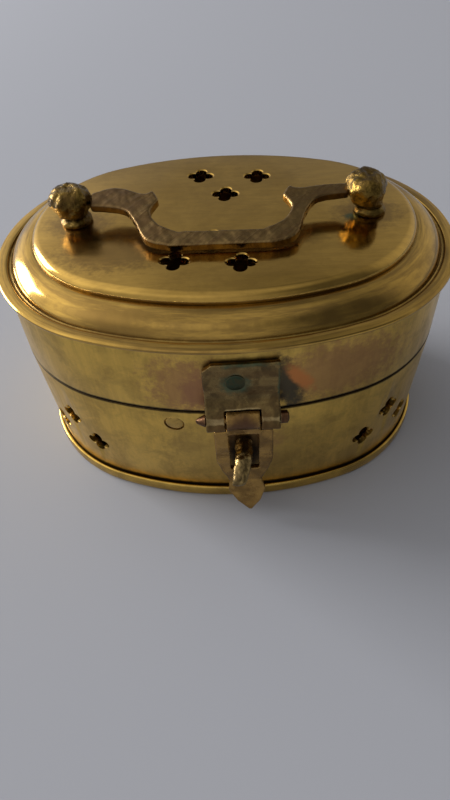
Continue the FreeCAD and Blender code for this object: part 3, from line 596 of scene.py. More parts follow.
def through(points, steps=5):
    """Smooth run of points through the given ones."""
    padded = [points[0]] + list(points) + [points[-1]]
    out = []
    for a, b, c, d in zip(padded, padded[1:], padded[2:], padded[3:]):
        a, b, c, d = Vector(a), Vector(b), Vector(c), Vector(d)
        for k in range(steps):
            t = k / steps
            out.append(tuple(0.5 * (2 * b + (c - a) * t + (2 * a - 5 * b + 4 * c - d) * t ** 2
                                    + (3 * b - a - 3 * c + d) * t ** 3)))
    return out + [tuple(points[-1])]


def handle_half(side, hump, front, end):
    """One half of the bail's outline in (x, s), from the bar's inner edge round to its outer.
    Hump is the rise of its arm, front the arm's depth and end the x at which it stops."""
    root = PIVOT_R + 0.4 * MM
    inner = HANDLE_REACH - HANDLE_BAR
    hump_x = (ARM_END + SHOULDER_X) / 2 - 1.2 * MM
    valley_x = (SCROLL_X + SHOULDER_X) / 2
    tip = (SCROLL_X, 1.5 * MM)
    inside = [(SCROLL_X - 5.2 * MM, inner), (SCROLL_X - 0.4 * MM, inner - 2.7 * MM),
              (SCROLL_X + 1.9 * MM, 5.7 * MM), tip]
    top = [tip, (SCROLL_X + 1.7 * MM, -root), (valley_x, -root / 2), (hump_x, -hump),
           (end, -root)]
    outside = [(end, max(front - 1.6 * MM, root)), (SHOULDER_X + 0.8 * MM, front),
               (SHOULDER_X - 2.6 * MM, front + 4.4 * MM),
               (SCROLL_X + 2.4 * MM, HANDLE_REACH - 2.2 * MM),
               (SCROLL_X - 3.4 * MM, HANDLE_REACH)]
    run = through(inside)[:-1] + through(top) + through(outside)
    return [(side * x, s) for x, s in run]


def make_handle():
    """Hand-cut flat bail with its two round pivots."""
    left = handle_half(-1, 3.4 * MM, 4.4 * MM, ARM_END + 0.9 * MM)
    right = handle_half(1, 1.6 * MM, 2.7 * MM, ARM_END)
    outline = left + right[::-1]
    piece = extruded("bail_handle", [(x, -s, -HANDLE_THICKNESS / 2) for x, s in outline],
                     (0, 0, HANDLE_THICKNESS))
    file_edges(piece, 0.4 * MM)
    melt(piece, 0.24 * MM, 3)
    roughen(piece, "filed_edge", 2.6 * MM, 0.28 * MM, 2)
    for side in (-1, 1):
        fuse(piece, rod_across("pivot", PIVOT_R, side * (ARM_END - PIVOT_ROOT),
                               side * (ARM_END + PIVOT_LENGTH), 0, 0, 24))
    piece.data.transform(Matrix.Translation((0, POST_Y, HANDLE_Z))
                         @ Matrix.Rotation(HANDLE_TILT, 4, "X"))
    smooth(piece, 50)
    return piece


# ---------------------------------------------------------------- hasp and horn
HASP_X = 4.1 * MM
FRONT_TURN = round_side(HASP_X)
SEAM_Z = WALL_HIGH.z
PIN_Z = SEAM_Z + 1.0 * MM
BARREL_R = 2.7 * MM
PIN_Y = -(HALF_WIDTH + 0.3 * MM + BARREL_R)
PIN_R = 1.3 * MM
HASP_HALF = 8.9 * MM
HASP_PLATE = 1.4 * MM
HASP_CREASE_Z = PIN_Z + 5.7 * MM
HASP_TOP_Z = PIN_Z + 16.3 * MM
HASP_BEND = 0.7 * MM           # rounding of its folds
CLIPPED_CORNER = math.radians(50)
KNUCKLE_HALF = 4.0 * MM
KNUCKLE_GAP = 0.3 * MM
HASP_BORE_R = PIN_R + 0.05 * MM
LEAF_BORE_R = PIN_R + 0.08 * MM


def make_hasp_upper_leaf():
    """Plate with a crease, and two ears that turn back under the pin."""
    front = -(HALF_WIDTH + HASP_PLATE)
    toe = (PIN_Y - 2.8 * MM, PIN_Z - 1.5 * MM)
    side = [(front + HASP_PLATE, HASP_TOP_Z), (front, HASP_TOP_Z), (front, HASP_CREASE_Z), toe,
            (PIN_Y - 0.6 * MM, PIN_Z - BARREL_R), (PIN_Y + 1.6 * MM, PIN_Z - 2.1 * MM),
            (PIN_Y + BARREL_R - 0.1 * MM, PIN_Z), (front + 0.8 * MM, HASP_CREASE_Z - 1 * MM),
            (front + HASP_PLATE, HASP_CREASE_Z + 1 * MM), (front + HASP_PLATE, HASP_TOP_Z)]
    shape = rounded(side, HASP_BEND)[:-1]
    piece = extruded("hasp_upper_leaf_plate", [(-HASP_HALF, y, z) for y, z in shape],
                     (2 * HASP_HALF, 0, 0))
    reach = KNUCKLE_HALF + KNUCKLE_GAP
    cut_with(piece, block("notch", (-reach, PIN_Y - 9 * MM, PIN_Z - 9 * MM),
                          (reach, 0, PIN_Z + BARREL_R + 0.3 * MM)))
    corner = block("corner", (-2 * MM, -60 * MM, -2 * MM), (2 * MM, 0, 2 * MM))
    corner.data.transform(Matrix.Translation((-HASP_HALF, 0, HASP_TOP_Z + 0.8 * MM))
                          @ Matrix.Rotation(CLIPPED_CORNER, 4, "Y"))
    cut_with(piece, corner)
    cut_with(piece, rod_across("bore", HASP_BORE_R, -2 * HASP_HALF, 2 * HASP_HALF, PIN_Y, PIN_Z))
    melt(piece, 0.2 * MM, 8)
    roughen(piece, "cut_plate", 3.5 * MM, 0.3 * MM, 2)
    piece.data.transform(FRONT_TURN)
    smooth(piece, 60)
    return piece


LEAF_THICKNESS = 1.5 * MM
LEAF_FRONT = PIN_Y - 0.9 * MM
LEAF_HALF = 7.3 * MM
SLOT_HALF = 3.7 * MM
SLOT_TOP_Z = PIN_Z - 5.2 * MM
SLOT_LOW_Z = PIN_Z - 19.2 * MM
NECK_HALF = 4.3 * MM
LEAF_SHOULDER_Z = PIN_Z - 3.7 * MM
WAIST_Z = PIN_Z - 15.5 * MM
NECK_Z = PIN_Z - 24.2 * MM
TAB_HALF = 5.0 * MM
TAB_SHOULDER = 3.8 * MM
TAB_LENGTH = 10.5 * MM
TAB_SKEW = 1.0 * MM
TAB_BEND = math.radians(20)


def make_hasp_lower_leaf():
    """Hanging leaf: knuckle, slot, narrowing neck and a bent, pointed tab."""
    half = [(KNUCKLE_HALF, PIN_Z), (KNUCKLE_HALF, LEAF_SHOULDER_Z), (LEAF_HALF, LEAF_SHOULDER_Z),
            (LEAF_HALF, WAIST_Z), ((LEAF_HALF + NECK_HALF) / 2 + 0.3 * MM, (WAIST_Z + NECK_Z) / 2),
            (NECK_HALF, NECK_Z)]
    tab = [(TAB_HALF, TAB_SHOULDER), (TAB_HALF * 0.62, TAB_LENGTH * 0.72), (0.4 * MM, TAB_LENGTH)]
    half += [(x, NECK_Z - drop) for x, drop in tab]
    skew = TAB_SKEW / TAB_LENGTH
    outline = half + [(-x, z) for x, z in reversed(half)]
    outline = [(x + max(NECK_Z - z, 0) * skew, z) for x, z in outline]
    piece = extruded("hasp_lower_leaf_plate", [(x, LEAF_FRONT, z) for x, z in outline],
                     (0, LEAF_THICKNESS, 0))
    file_edges(piece, 0.4 * MM)
    edit(piece)
    bpy.ops.mesh.select_all(action="SELECT")
    bpy.ops.mesh.bisect(plane_co=(0, 0, NECK_Z), plane_no=(0, 0, 1))
    pick(piece, "VERT", lambda co: co.z < NECK_Z - 1e-5)
    bpy.ops.transform.rotate(value=TAB_BEND, orient_axis="X", orient_type="GLOBAL",
                             center_override=(0, LEAF_FRONT + LEAF_THICKNESS, NECK_Z))
    leave_edit()
    cut_with(piece, block("slot", (-SLOT_HALF, LEAF_FRONT - 1 * MM, SLOT_LOW_Z),
                          (SLOT_HALF, LEAF_FRONT + 3 * MM, SLOT_TOP_Z)))
    fuse(piece, rod_across("knuckle", BARREL_R, -KNUCKLE_HALF, KNUCKLE_HALF, PIN_Y, PIN_Z, 48))
    cut_with(piece, rod_across("bore", LEAF_BORE_R, -HASP_HALF, HASP_HALF, PIN_Y, PIN_Z))
    melt(piece, 0.17 * MM, 4)
    roughen(piece, "worn_leaf", 3.0 * MM, 0.26 * MM, 2)
    piece.data.transform(FRONT_TURN)
    smooth(piece, 60)
    return piece


def make_hasp_pin():
    """Pin with a filed point at one end and a battered thick end."""
    point = [(0, -HASP_HALF - 2.5 * MM), (0.6 * MM, -HASP_HALF - 2.2 * MM),
             (1.6 * MM, -HASP_HALF - 0.2 * MM), (PIN_R - 0.05 * MM, -HASP_HALF)]
    thick = [(PIN_R - 0.05 * MM, HASP_HALF), (1.65 * MM, HASP_HALF + 0.1 * MM),
             (1.6 * MM, HASP_HALF + 1.7 * MM), (1.0 * MM, HASP_HALF + 2.1 * MM),
             (0, HASP_HALF + 2.1 * MM)]
    place = Matrix.Translation((0, PIN_Y, PIN_Z)) @ Z_TO_X
    piece = turned_piece("hasp_pin_rod", point + thick, 24, FRONT_TURN @ place)
    smooth(piece, 40)
    return piece


HASP_RIVET_X = -1.4 * MM
HASP_RIVET_Z = PIN_Z + 10.8 * MM
RIVET_TAIL = 0.6 * MM


def rivet_profile(head_r, head, length, shank_r, tail_r, tail):
    """Low domed head at z = 0 and above, shank below, and an upset tail."""
    profile = [(0, -length - tail), (tail_r * 0.8, -length - tail), (tail_r, -length - tail / 2),
               (shank_r, -length), (shank_r, 0), (head_r * 0.96, 0)]
    dome = arc_points((head_r, head * 0.25), (head_r * 0.6, head * 0.86), (0, head), 8)
    return profile + dome


def make_hasp_rivet():
    """Flat rivet that holds the upper leaf to the skirt."""
    low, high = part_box("hasp_rivet")
    head_and_tail = 1.6 * MM
    length = high.y - low.y - head_and_tail
    profile = rivet_profile(2.35 * MM, 0.4 * MM, length, 1.25 * MM, 1.9 * MM, RIVET_TAIL)
    face = -(HALF_WIDTH + HASP_PLATE)
    place = Matrix.Translation((HASP_RIVET_X, face, HASP_RIVET_Z)) @ Z_TO_FRONT
    piece = turned_piece("hasp_rivet_head", profile, 40, FRONT_TURN @ place)
    smooth(piece, 40)
    return piece


HORN_Z = SEAM_Z - 12.4 * MM
HORN_REACH = 12.0 * MM
HORN_FOOT = 1.1 * MM           # how far the thick foot stands out
HORN_DRIFT = -1.9 * MM         # its tip lies to the left of its foot
HORN_HUMP = 0.6 * MM
HORN_DROOP = 2.4 * MM
HORN_SHANK_R = 1.5 * MM
HORN_TAIL_R = 1.9 * MM
HORN_STATIONS = 9


def horn_rings(face):
    """Places of the horn from inside the wall out to its tip, with half width and half height."""
    inside = face + WALL
    rings = [((0, inside + 0.9 * MM, HORN_Z), HORN_TAIL_R, HORN_TAIL_R),
             ((0, inside + 0.8 * MM, HORN_Z), HORN_SHANK_R, HORN_SHANK_R),
             ((0, face + 0.2 * MM, HORN_Z), HORN_SHANK_R, HORN_SHANK_R),
             ((0, face + 0.1 * MM, HORN_Z), 2.5 * MM, 2.4 * MM),
             ((0, face - 0.6 * MM, HORN_Z), 2.4 * MM, 2.2 * MM),
             ((0, face - HORN_FOOT, HORN_Z), 2.3 * MM, 2.0 * MM)]
    for station in range(1, HORN_STATIONS + 1):
        t = station / HORN_STATIONS
        spot = (HORN_DRIFT * t ** 2, face - HORN_FOOT - (HORN_REACH - HORN_FOOT) * t,
                HORN_Z + HORN_HUMP * math.sin(math.pi * t) - HORN_DROOP * t ** 2)
        rings.append((spot, (2.3 - 0.5 * t ** 3) * MM, (1.9 - 0.9 * t ** 1.2) * MM))
    return rings


def make_horn():
    """Broad tapering horn that droops to one side of its slot."""
    face = -(HALF_WIDTH + wall_offset(HORN_Z))
    bpy.ops.object.select_all(action="DESELECT")
    bpy.ops.mesh.primitive_circle_add(vertices=16, radius=1, fill_type="NGON")
    piece = bpy.context.active_object
    piece.name = "latch_horn_blade"
    piece.data.transform(Z_TO_FRONT)
    place, width, height = Vector((0, face + WALL + 1.5 * MM, HORN_Z)), HORN_TAIL_R, HORN_TAIL_R
    bpy.ops.object.mode_set(mode="EDIT")
    bpy.ops.mesh.select_all(action="SELECT")
    bpy.ops.transform.resize(value=(HORN_TAIL_R,) * 3)
    bpy.ops.transform.translate(value=tuple(place))
    for spot, new_width, new_height in horn_rings(face):
        spot = Vector(spot)
        bpy.ops.mesh.extrude_region_move(TRANSFORM_OT_translate={"value": tuple(spot - place)})
        bpy.ops.transform.resize(value=(new_width / width, 1, new_height / height),
                                 center_override=tuple(spot))
        place, width, height = spot, new_width, new_height
    face_outward()
    leave_edit()
    apply_modifier(piece, "SUBSURF", levels=2, render_levels=2)
    roughen(piece, "horn_facets", 1.9 * MM, 0.4 * MM, 1)
    piece.data.transform(FRONT_TURN)
    smooth(piece, 50)
    return piece


# ---------------------------------------------------------------- flush rivets and rear hinge
def make_collar_rivets():
    """Three rivets sunk flush in the wall, upset inside the collar."""
    rim, shank, tail = COLLAR_RIVET_R, 1.5 * MM, -4.0 * MM
    profile = [(0, tail), (2.0 * MM, tail), (2.15 * MM, -3.6 * MM), (shank, -3.2 * MM),
               (shank, -1.1 * MM), (rim, -POCKET_DEPTH), (rim, -0.3 * MM),
               (rim - 0.2 * MM, -0.1 * MM), (rim - 0.6 * MM, -0.02 * MM), (0, 0)]
    rivets = []
    for x, rear in COLLAR_RIVETS:
        rivets.append(turned_piece("flush_rivets", profile, 40, on_side(x, COLLAR_RIVET_Z, rear)))
    piece = joined(rivets)
    piece.name = "flush_rivets"
    smooth(piece, 40)
    return piece


HINGE_HALF = 13.0 * MM
HINGE_HEIGHT = 11.0 * MM
HINGE_LEAF = 1.4 * MM
HINGE_BARREL_R = 2.35 * MM
HINGE_PIN_R = 1.2 * MM
HINGE_BORE_R = HINGE_PIN_R + 0.08 * MM
HINGE_THIRD = 2 * HINGE_HALF / 3
HINGE_GAP = 0.3 * MM
HINGE_Y = HALF_WIDTH + 2.75 * MM
HINGE_Z = WALL_HIGH.z + (SKIRT_LOW.z - WALL_HIGH.z) / 2
HINGE_RIVET_X = 8.6 * MM
HINGE_RIVET_RISE = 7.0 * MM
HINGE_CORNER = 1.1 * MM


def make_hinge_leaf(name, up):
    """Plate with worn corners and rolled knuckles: two on the lid's, one on the base's."""
    inner = (HINGE_THIRD + HINGE_GAP) / 2
    outer_spans = [(-HINGE_HALF, -inner), (inner, HINGE_HALF)]
    middle_span = [(-inner + HINGE_GAP, inner - HINGE_GAP)]
    own, other = (outer_spans, middle_span) if up > 0 else (middle_span, outer_spans)
    root, tip = HINGE_Z + up * HINGE_GAP, HINGE_Z + up * HINGE_HEIGHT
    corners = [(0, root), (HINGE_HALF, root), (HINGE_HALF, tip), (-HINGE_HALF, tip),
               (-HINGE_HALF, root), (0, root)]
    outline = rounded(corners, HINGE_CORNER)[:-1]
    piece = extruded(name, [(x, HALF_WIDTH, z) for x, z in outline], (0, HINGE_LEAF, 0))
    clear = HINGE_BARREL_R + HINGE_GAP
    for low, high in other:
        cut_with(piece, block("clearance", (low - HINGE_GAP, HALF_WIDTH - 1 * MM, HINGE_Z - clear),
                              (high + HINGE_GAP, HALF_WIDTH + 3 * MM, HINGE_Z + clear)))
    for low, high in own:
        fuse(piece, rod_across("knuckle", HINGE_BARREL_R, low, high, HINGE_Y, HINGE_Z, 48))
    cut_with(piece, rod_across("bore", HINGE_BORE_R, -2 * HINGE_HALF, 2 * HINGE_HALF, HINGE_Y,
                               HINGE_Z))
    melt(piece, 0.2 * MM, 2)
    roughen(piece, name + "_wear", 3.0 * MM, 0.12 * MM, 2)
    smooth(piece, 60)
    return piece


def make_hinge_pin():
    """Plain pin, peened over at both ends."""
    half = [(0, HINGE_HALF), (HINGE_PIN_R * 0.7, HINGE_HALF), (HINGE_PIN_R, HINGE_HALF - 0.3 * MM)]
    profile = [(r, -z) for r, z in half] + [(r, z) for r, z in reversed(half)]
    place = Matrix.Translation((0, HINGE_Y, HINGE_Z)) @ Z_TO_X
    piece = turned_piece("hinge_pin_rod", profile, 24, place)
    smooth(piece, 40)
    return piece


def make_hinge_rivets(name, node, up):
    """Two domed rivets through a leaf and the wall behind it."""
    seat = HALF_WIDTH + HINGE_LEAF
    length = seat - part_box(node)[0].y - RIVET_TAIL
    profile = rivet_profile(1.8 * MM, 0.8 * MM, length, 1.0 * MM, 1.7 * MM, RIVET_TAIL)
    rivets = []
    for x in (-HINGE_RIVET_X, HINGE_RIVET_X):
        place = Matrix.Translation((x, seat, HINGE_Z + up * HINGE_RIVET_RISE)) @ Z_TO_REAR
        rivets.append(turned_piece(name, profile, 32, place))
    piece = joined(rivets)
    piece.name = name
    roughen(piece, name + "_peening", 1.2 * MM, 0.14 * MM, 1)
    smooth(piece, 40)
    return piece


# ---------------------------------------------------------------- node building
def put(tree, kind, values=None, **settings):
    """New node with its settings; a value is a number, a vector, a colour or a socket."""
    node = tree.nodes.new("ShaderNode" + kind)
    for key, value in settings.items():
        setattr(node, key, value)
    fill(tree, node, values or {})
    return node


def fill(tree, node, values):
    for socket, value in values.items():
        if isinstance(value, bpy.types.NodeSocket):
            tree.links.new(value, node.inputs[socket])
        else:
            node.inputs[socket].default_value = value


def number(tree, operation, first, second=0.0, clamp=False):
    return put(tree, "Math", {0: first, 1: second}, operation=operation,
               use_clamp=clamp).outputs[0]


def opposite(tree, mask):
    return number(tree, "SUBTRACT", 1.0, mask)


def mixed(tree, factor, first, second, blend="MIX"):
    return put(tree, "Mix", {0: factor, 6: first, 7: second}, data_type="RGBA",
               blend_type=blend).outputs[2]


def ramp(tree, value, low, high, start=0.0, end=1.0):
    return put(tree, "MapRange", {0: value, 1: low, 2: high, 3: start, 4: end},
               interpolation_type="SMOOTHSTEP").outputs[0]


def noise(tree, vector, scale, detail, roughness=0.55, distortion=0.0):
    return put(tree, "TexNoise", {"Vector": vector, "Scale": scale, "Detail": detail,
                                  "Roughness": roughness, "Distortion": distortion}).outputs[0]


def stretched(tree, vector, scale):
    return put(tree, "Mapping", {"Vector": vector, "Scale": scale}).outputs[0]


def bumped(tree, height, depth, normal=None):
    """Normal of a surface that a height raises by up to a depth in millimetres."""
    values = {"Strength": 1.0, "Distance": depth * MM, "Height": height}
    if normal is not None:
        values["Normal"] = normal
    return put(tree, "Bump", values).outputs[0]


def place_on_piece(tree):
    return put(tree, "TexCoord").outputs["Object"]


def effect(name, inputs, outputs):
    """Empty node group with named sockets."""
    tree = bpy.data.node_groups.new(name, "ShaderNodeTree")
    for label, kind in inputs.items():
        tree.interface.new_socket(label, in_out="INPUT", socket_type="NodeSocket" + kind)
    for label, kind in outputs.items():
        tree.interface.new_socket(label, in_out="OUTPUT", socket_type="NodeSocket" + kind)
    return tree, tree.nodes.new("NodeGroupInput").outputs, tree.nodes.new("NodeGroupOutput")


def use(tree, group, values):
    node = tree.nodes.new("ShaderNodeGroup")
    node.node_tree = group
    fill(tree, node, values)
    return node.outputs


# ---------------------------------------------------------------- shared effects
def tarnish_effect():
    """Dull patches in two sizes over a bright metal."""
    tree, given, out = effect("tarnish", {"Bright": "Color", "Dull": "Color",
                                          "Patch Scale": "Float", "Cover": "Float"},
                              {"Colour": "Color", "Mask": "Float"})
    spot = place_on_piece(tree)
    clouds = ramp(tree, noise(tree, spot, given["Patch Scale"], 5, 0.6, 0.5), 0.38, 0.66)
    flecks = noise(tree, spot, number(tree, "MULTIPLY", given["Patch Scale"], 11), 4)
    uneven = number(tree, "MULTIPLY", number(tree, "SUBTRACT", flecks, 0.5), 0.9)
    mask = number(tree, "ADD", clouds, uneven, True)
    mask = number(tree, "MULTIPLY", mask, given["Cover"], True)
    fill(tree, out, {"Colour": mixed(tree, mask, given["Bright"], given["Dull"]), "Mask": mask})
    return tree


def grime_and_shade_effect():
    """Soiling and painted shade in a piece's own hollows, found by ambient occlusion."""
    tree, given, out = effect("hollow_grime_and_shade", {"Reach": "Float", "Amount": "Float"},
                              {"Mask": "Float"})
    hollow = put(tree, "AmbientOcclusion", {"Distance": given["Reach"]}, samples=8,
                 only_local=True).outputs["AO"]
    depth = ramp(tree, opposite(tree, hollow), 0.12, 0.62)
    broken = ramp(tree, noise(tree, place_on_piece(tree), 700, 3), 0.25, 0.6, 0.55, 1.0)
    mask = number(tree, "MULTIPLY", number(tree, "MULTIPLY", depth, broken),
                  given["Amount"], True)
    fill(tree, out, {"Mask": mask})
    return tree


def rub_and_glint_effect():
    """Bare metal along the edges that hands and cloths reach, laid on bright enough to be a
    painted highlight along them too.
    """
    tree, given, out = effect("rubbed_edge_and_glint", {"Radius": "Float", "Amount": "Float"},
                              {"Mask": "Float"})
    thin = put(tree, "AmbientOcclusion", {"Distance": given["Radius"]}, samples=8,
               inside=True, only_local=True).outputs["AO"]
    edge = ramp(tree, opposite(tree, thin), 0.16, 0.46)
    broken = ramp(tree, noise(tree, place_on_piece(tree), 170, 4), 0.3, 0.62, 0.15, 1.0)
    edge = number(tree, "MULTIPLY", edge, broken)
    fill(tree, out, {"Mask": number(tree, "MULTIPLY", edge, given["Amount"], True)})
    return tree


def grain_effect():
    """Fine lines drawn out along one direction of a given vector."""
    tree, given, out = effect("drawn_grain", {"Vector": "Vector", "Stretch": "Vector",
                                              "Turn": "Vector"},
                              {"Height": "Float", "Mask": "Float"})
    turned = put(tree, "VectorRotate", {"Vector": given["Vector"], "Rotation": given["Turn"]},
                 rotation_type="EULER_XYZ").outputs[0]
    along = stretched(tree, turned, given["Stretch"])
    fine = noise(tree, along, 1.0, 4, 0.7)
    broad = noise(tree, along, 0.31, 2, 0.5)
    fill(tree, out, {"Height": number(tree, "ADD", fine, broad),
                     "Mask": ramp(tree, number(tree, "ADD", fine, broad), 0.82, 1.2)})
    return tree


def stain_and_shade_effect():
    """Ragged spot about a place on the piece; some are discoloured patches, some painted shade."""
    tree, given, out = effect("stain_and_shade_spot", {"Centre": "Vector", "Size": "Vector", "Turn": "Vector",
                                        "Ragged": "Float", "Grain": "Float",
                                        "Amount": "Float"}, {"Mask": "Float"})
    spot = place_on_piece(tree)
    offset = put(tree, "VectorMath", {0: spot, 1: given["Centre"]},
                 operation="SUBTRACT").outputs[0]
    turned = put(tree, "VectorRotate", {"Vector": offset, "Rotation": given["Turn"]},
                 rotation_type="EULER_XYZ").outputs[0]
    unit = put(tree, "VectorMath", {0: turned, 1: given["Size"]}, operation="DIVIDE").outputs[0]
    far = put(tree, "VectorMath", {0: unit}, operation="LENGTH").outputs["Value"]
    torn = number(tree, "SUBTRACT", noise(tree, spot, given["Grain"], 6, 0.72), 0.5)
    edge = number(tree, "ADD", far, number(tree, "MULTIPLY", torn, given["Ragged"]))
    mask = ramp(tree, edge, 0.42, 1.12, 1.0, 0.0)
    fill(tree, out, {"Mask": number(tree, "MULTIPLY", mask, given["Amount"], True)})
    return tree


TARNISH = tarnish_effect()
GRIME_AND_SHADE = grime_and_shade_effect()
RUB_AND_GLINT = rub_and_glint_effect()
GRAIN = grain_effect()
STAIN_AND_SHADE = stain_and_shade_effect()

GOLDEN = (0.64, 0.40, 0.095, 1)
YELLOW = (0.760, 0.496, 0.111, 1)
OLIVE = (0.27, 0.175, 0.055, 1)
UMBER = (0.15, 0.085, 0.035, 1)
# near-black of soot, laid on also as painted shade in hollows, seams, under the lip and behind the
# slot
SHADE_AND_SOOT = (0.022, 0.014, 0.008, 1)
COPPER = (0.66, 0.26, 0.08, 1)
ROSE = (0.36, 0.17, 0.095, 1)
VERDIGRIS = (0.05, 0.12, 0.08, 1)
SLATE = (0.06, 0.06, 0.045, 1)
# bare brass of rubbed edges, bright enough to serve as a painted highlight as well
BARE_AND_GLINT = (0.86, 0.66, 0.33, 1)
TOBACCO = (0.33, 0.22, 0.075, 1)
PEAT = (0.12, 0.07, 0.035, 1)
PLUM = (0.10, 0.05, 0.035, 1)

PLATE_LINES = (60, 420, 1)     # how much the plate's faint lines are drawn out
SPOT_GRAIN = 520.0
LINE_ROUGHNESS = 0.35
DIRT_ROUGHNESS = 0.35
RUB_POLISH = 0.2


def stained_and_shaded(tree, colour, dullness, stains_and_shade):
    """Colour and dullness under discoloured spots and spots of painted shade, each (colour,
    centre, size, tilt, ragged, amount).
    """
    for spot_colour, centre, size, tilt, ragged, amount in stains_and_shade:
        mask = use(tree, STAIN_AND_SHADE, {"Centre": [MM * c for c in centre],
                                 "Size": [MM * c for c in size], "Turn": (0, tilt, 0),
                                 "Ragged": ragged, "Grain": SPOT_GRAIN, "Amount": amount})["Mask"]
        colour = mixed(tree, mask, colour, spot_colour)
        dullness = number(tree, "ADD", dullness, mask, True)
    return colour, dullness


def worn_roughness(tree, ends, dullness, furrows, dirt_and_shade, edge):
    """Roughness between two ends: more where dull, lined or dirty, less where rubbed."""
    lined = number(tree, "MULTIPLY", furrows, LINE_ROUGHNESS)
    roughness = ramp(tree, number(tree, "ADD", dullness, lined), 0.0, 1.35, *ends)
    roughness = number(tree, "ADD", roughness, number(tree, "MULTIPLY", dirt_and_shade, DIRT_ROUGHNESS))
    polish = number(tree, "MULTIPLY", edge, RUB_POLISH)
    return number(tree, "SUBTRACT", roughness, polish, True)


def cast_skin(tree, spot, size):
    """Height of a sand-cast skin: lumps and cells of a size in millimetres."""
    cells = put(tree, "TexVoronoi", {"Vector": spot, "Scale": 800 / size},
                feature="SMOOTH_F1").outputs[0]
    return number(tree, "ADD", noise(tree, spot, 1000 / size, 4, 0.65), cells)


def brass(name, bright, dull, patch, cover, rough, grime_and_shade, rub_and_glint, sweep=False,
          grain=(250, 250, 25), turn=(0, 0, 0), grain_depth=0.01, streak=0.0, wave=(9, 0.1),
          skin=None, ridge=None, flat_above=None, stains_and_shade=()):
    """Metal material: tarnish in patches, lines, soiling with painted shade in hollows, rubbed
    bare edges that are also a painted highlight, and discoloured spots and spots of painted shade.
    Sizes and depths are in millimetres, except flat_above, a height in metres over which the
    lines don't run with the sweep.  Wave, skin and ridge are (size or stretch, depth), the
    hollows' and the edges' settings are (reach, amount)."""
    material = bpy.data.materials.new(name)
    material.use_nodes = True
    tree = material.node_tree
    shader = tree.nodes["Principled BSDF"]
    spot = place_on_piece(tree)
    base = use(tree, TARNISH, {"Bright": bright, "Dull": dull, "Patch Scale": 1000 / patch,
                               "Cover": cover})
    colour, dullness = base["Colour"], base["Mask"]
    run = put(tree, "Attribute", attribute_name="sweep").outputs["Vector"] if sweep else spot
    if flat_above:
        high = put(tree, "SeparateXYZ", {"Vector": spot}).outputs["Z"]
        level = ramp(tree, high, flat_above - 0.4 * MM, flat_above - 0.1 * MM)
        across = stretched(tree, spot, PLATE_LINES)
        run = put(tree, "Mix", {0: level, 4: run, 5: across}, data_type="VECTOR").outputs[1]
    lines = use(tree, GRAIN, {"Vector": run, "Stretch": grain, "Turn": turn})
    if streak:
        shade = number(tree, "MULTIPLY", lines["Mask"], streak)
        if flat_above:
            shade = number(tree, "MULTIPLY", shade, ramp(tree, level, 0.0, 1.0, 1.0, 0.25))
        colour = mixed(tree, shade, colour, UMBER)
    # discoloured spots, and spots of painted shade in seams, under overhangs and under the handle
    colour, dullness = stained_and_shaded(tree, colour, dullness, stains_and_shade)
    # soiling and painted shade in hollows, from ambient occlusion
    dirt_and_shade = use(tree, GRIME_AND_SHADE, {"Reach": grime_and_shade[0] * MM, "Amount": grime_and_shade[1]})["Mask"]
    colour = mixed(tree, dirt_and_shade, colour, SHADE_AND_SOOT)
    # rubbed bare edges, also a painted highlight along them
    edge = use(tree, RUB_AND_GLINT, {"Radius": rub_and_glint[0] * MM, "Amount": rub_and_glint[1]})["Mask"]
    edge = number(tree, "MULTIPLY", edge, opposite(tree, dirt_and_shade))
    colour = mixed(tree, edge, colour, BARE_AND_GLINT)
    normal = bumped(tree, noise(tree, spot, 1000 / wave[0], 2, 0.45), wave[1])
    if ridge:
        lanes = noise(tree, stretched(tree, run, ridge[0]), 1.0, 2, 0.5)
        if flat_above:
            lanes = number(tree, "MULTIPLY", lanes, opposite(tree, level))
        normal = bumped(tree, lanes, ridge[1], normal)
    if skin:
        normal = bumped(tree, cast_skin(tree, spot, skin[0]), skin[1], normal)
    normal = bumped(tree, lines["Height"], grain_depth, normal)
    roughness = worn_roughness(tree, rough, dullness, lines["Mask"], dirt_and_shade, edge)
    fill(tree, shader, {"Base Color": colour, "Roughness": roughness, "Normal": normal,
                        "Metallic": 1.0})
    return material


def mark_sweep(piece):
    """Attribute that runs round the oval in x and y, and outward and up in z, in millimetres."""
    mark = piece.data.attributes.new("sweep", "FLOAT_VECTOR", "POINT")
    for vertex, value in zip(piece.data.vertices, mark.data):
        co = vertex.co
        angle = math.atan2(co.y / HALF_WIDTH, co.x / HALF_LENGTH)
        value.vector = (math.cos(angle), math.sin(angle), (plan_offset(co) + co.z) / MM)


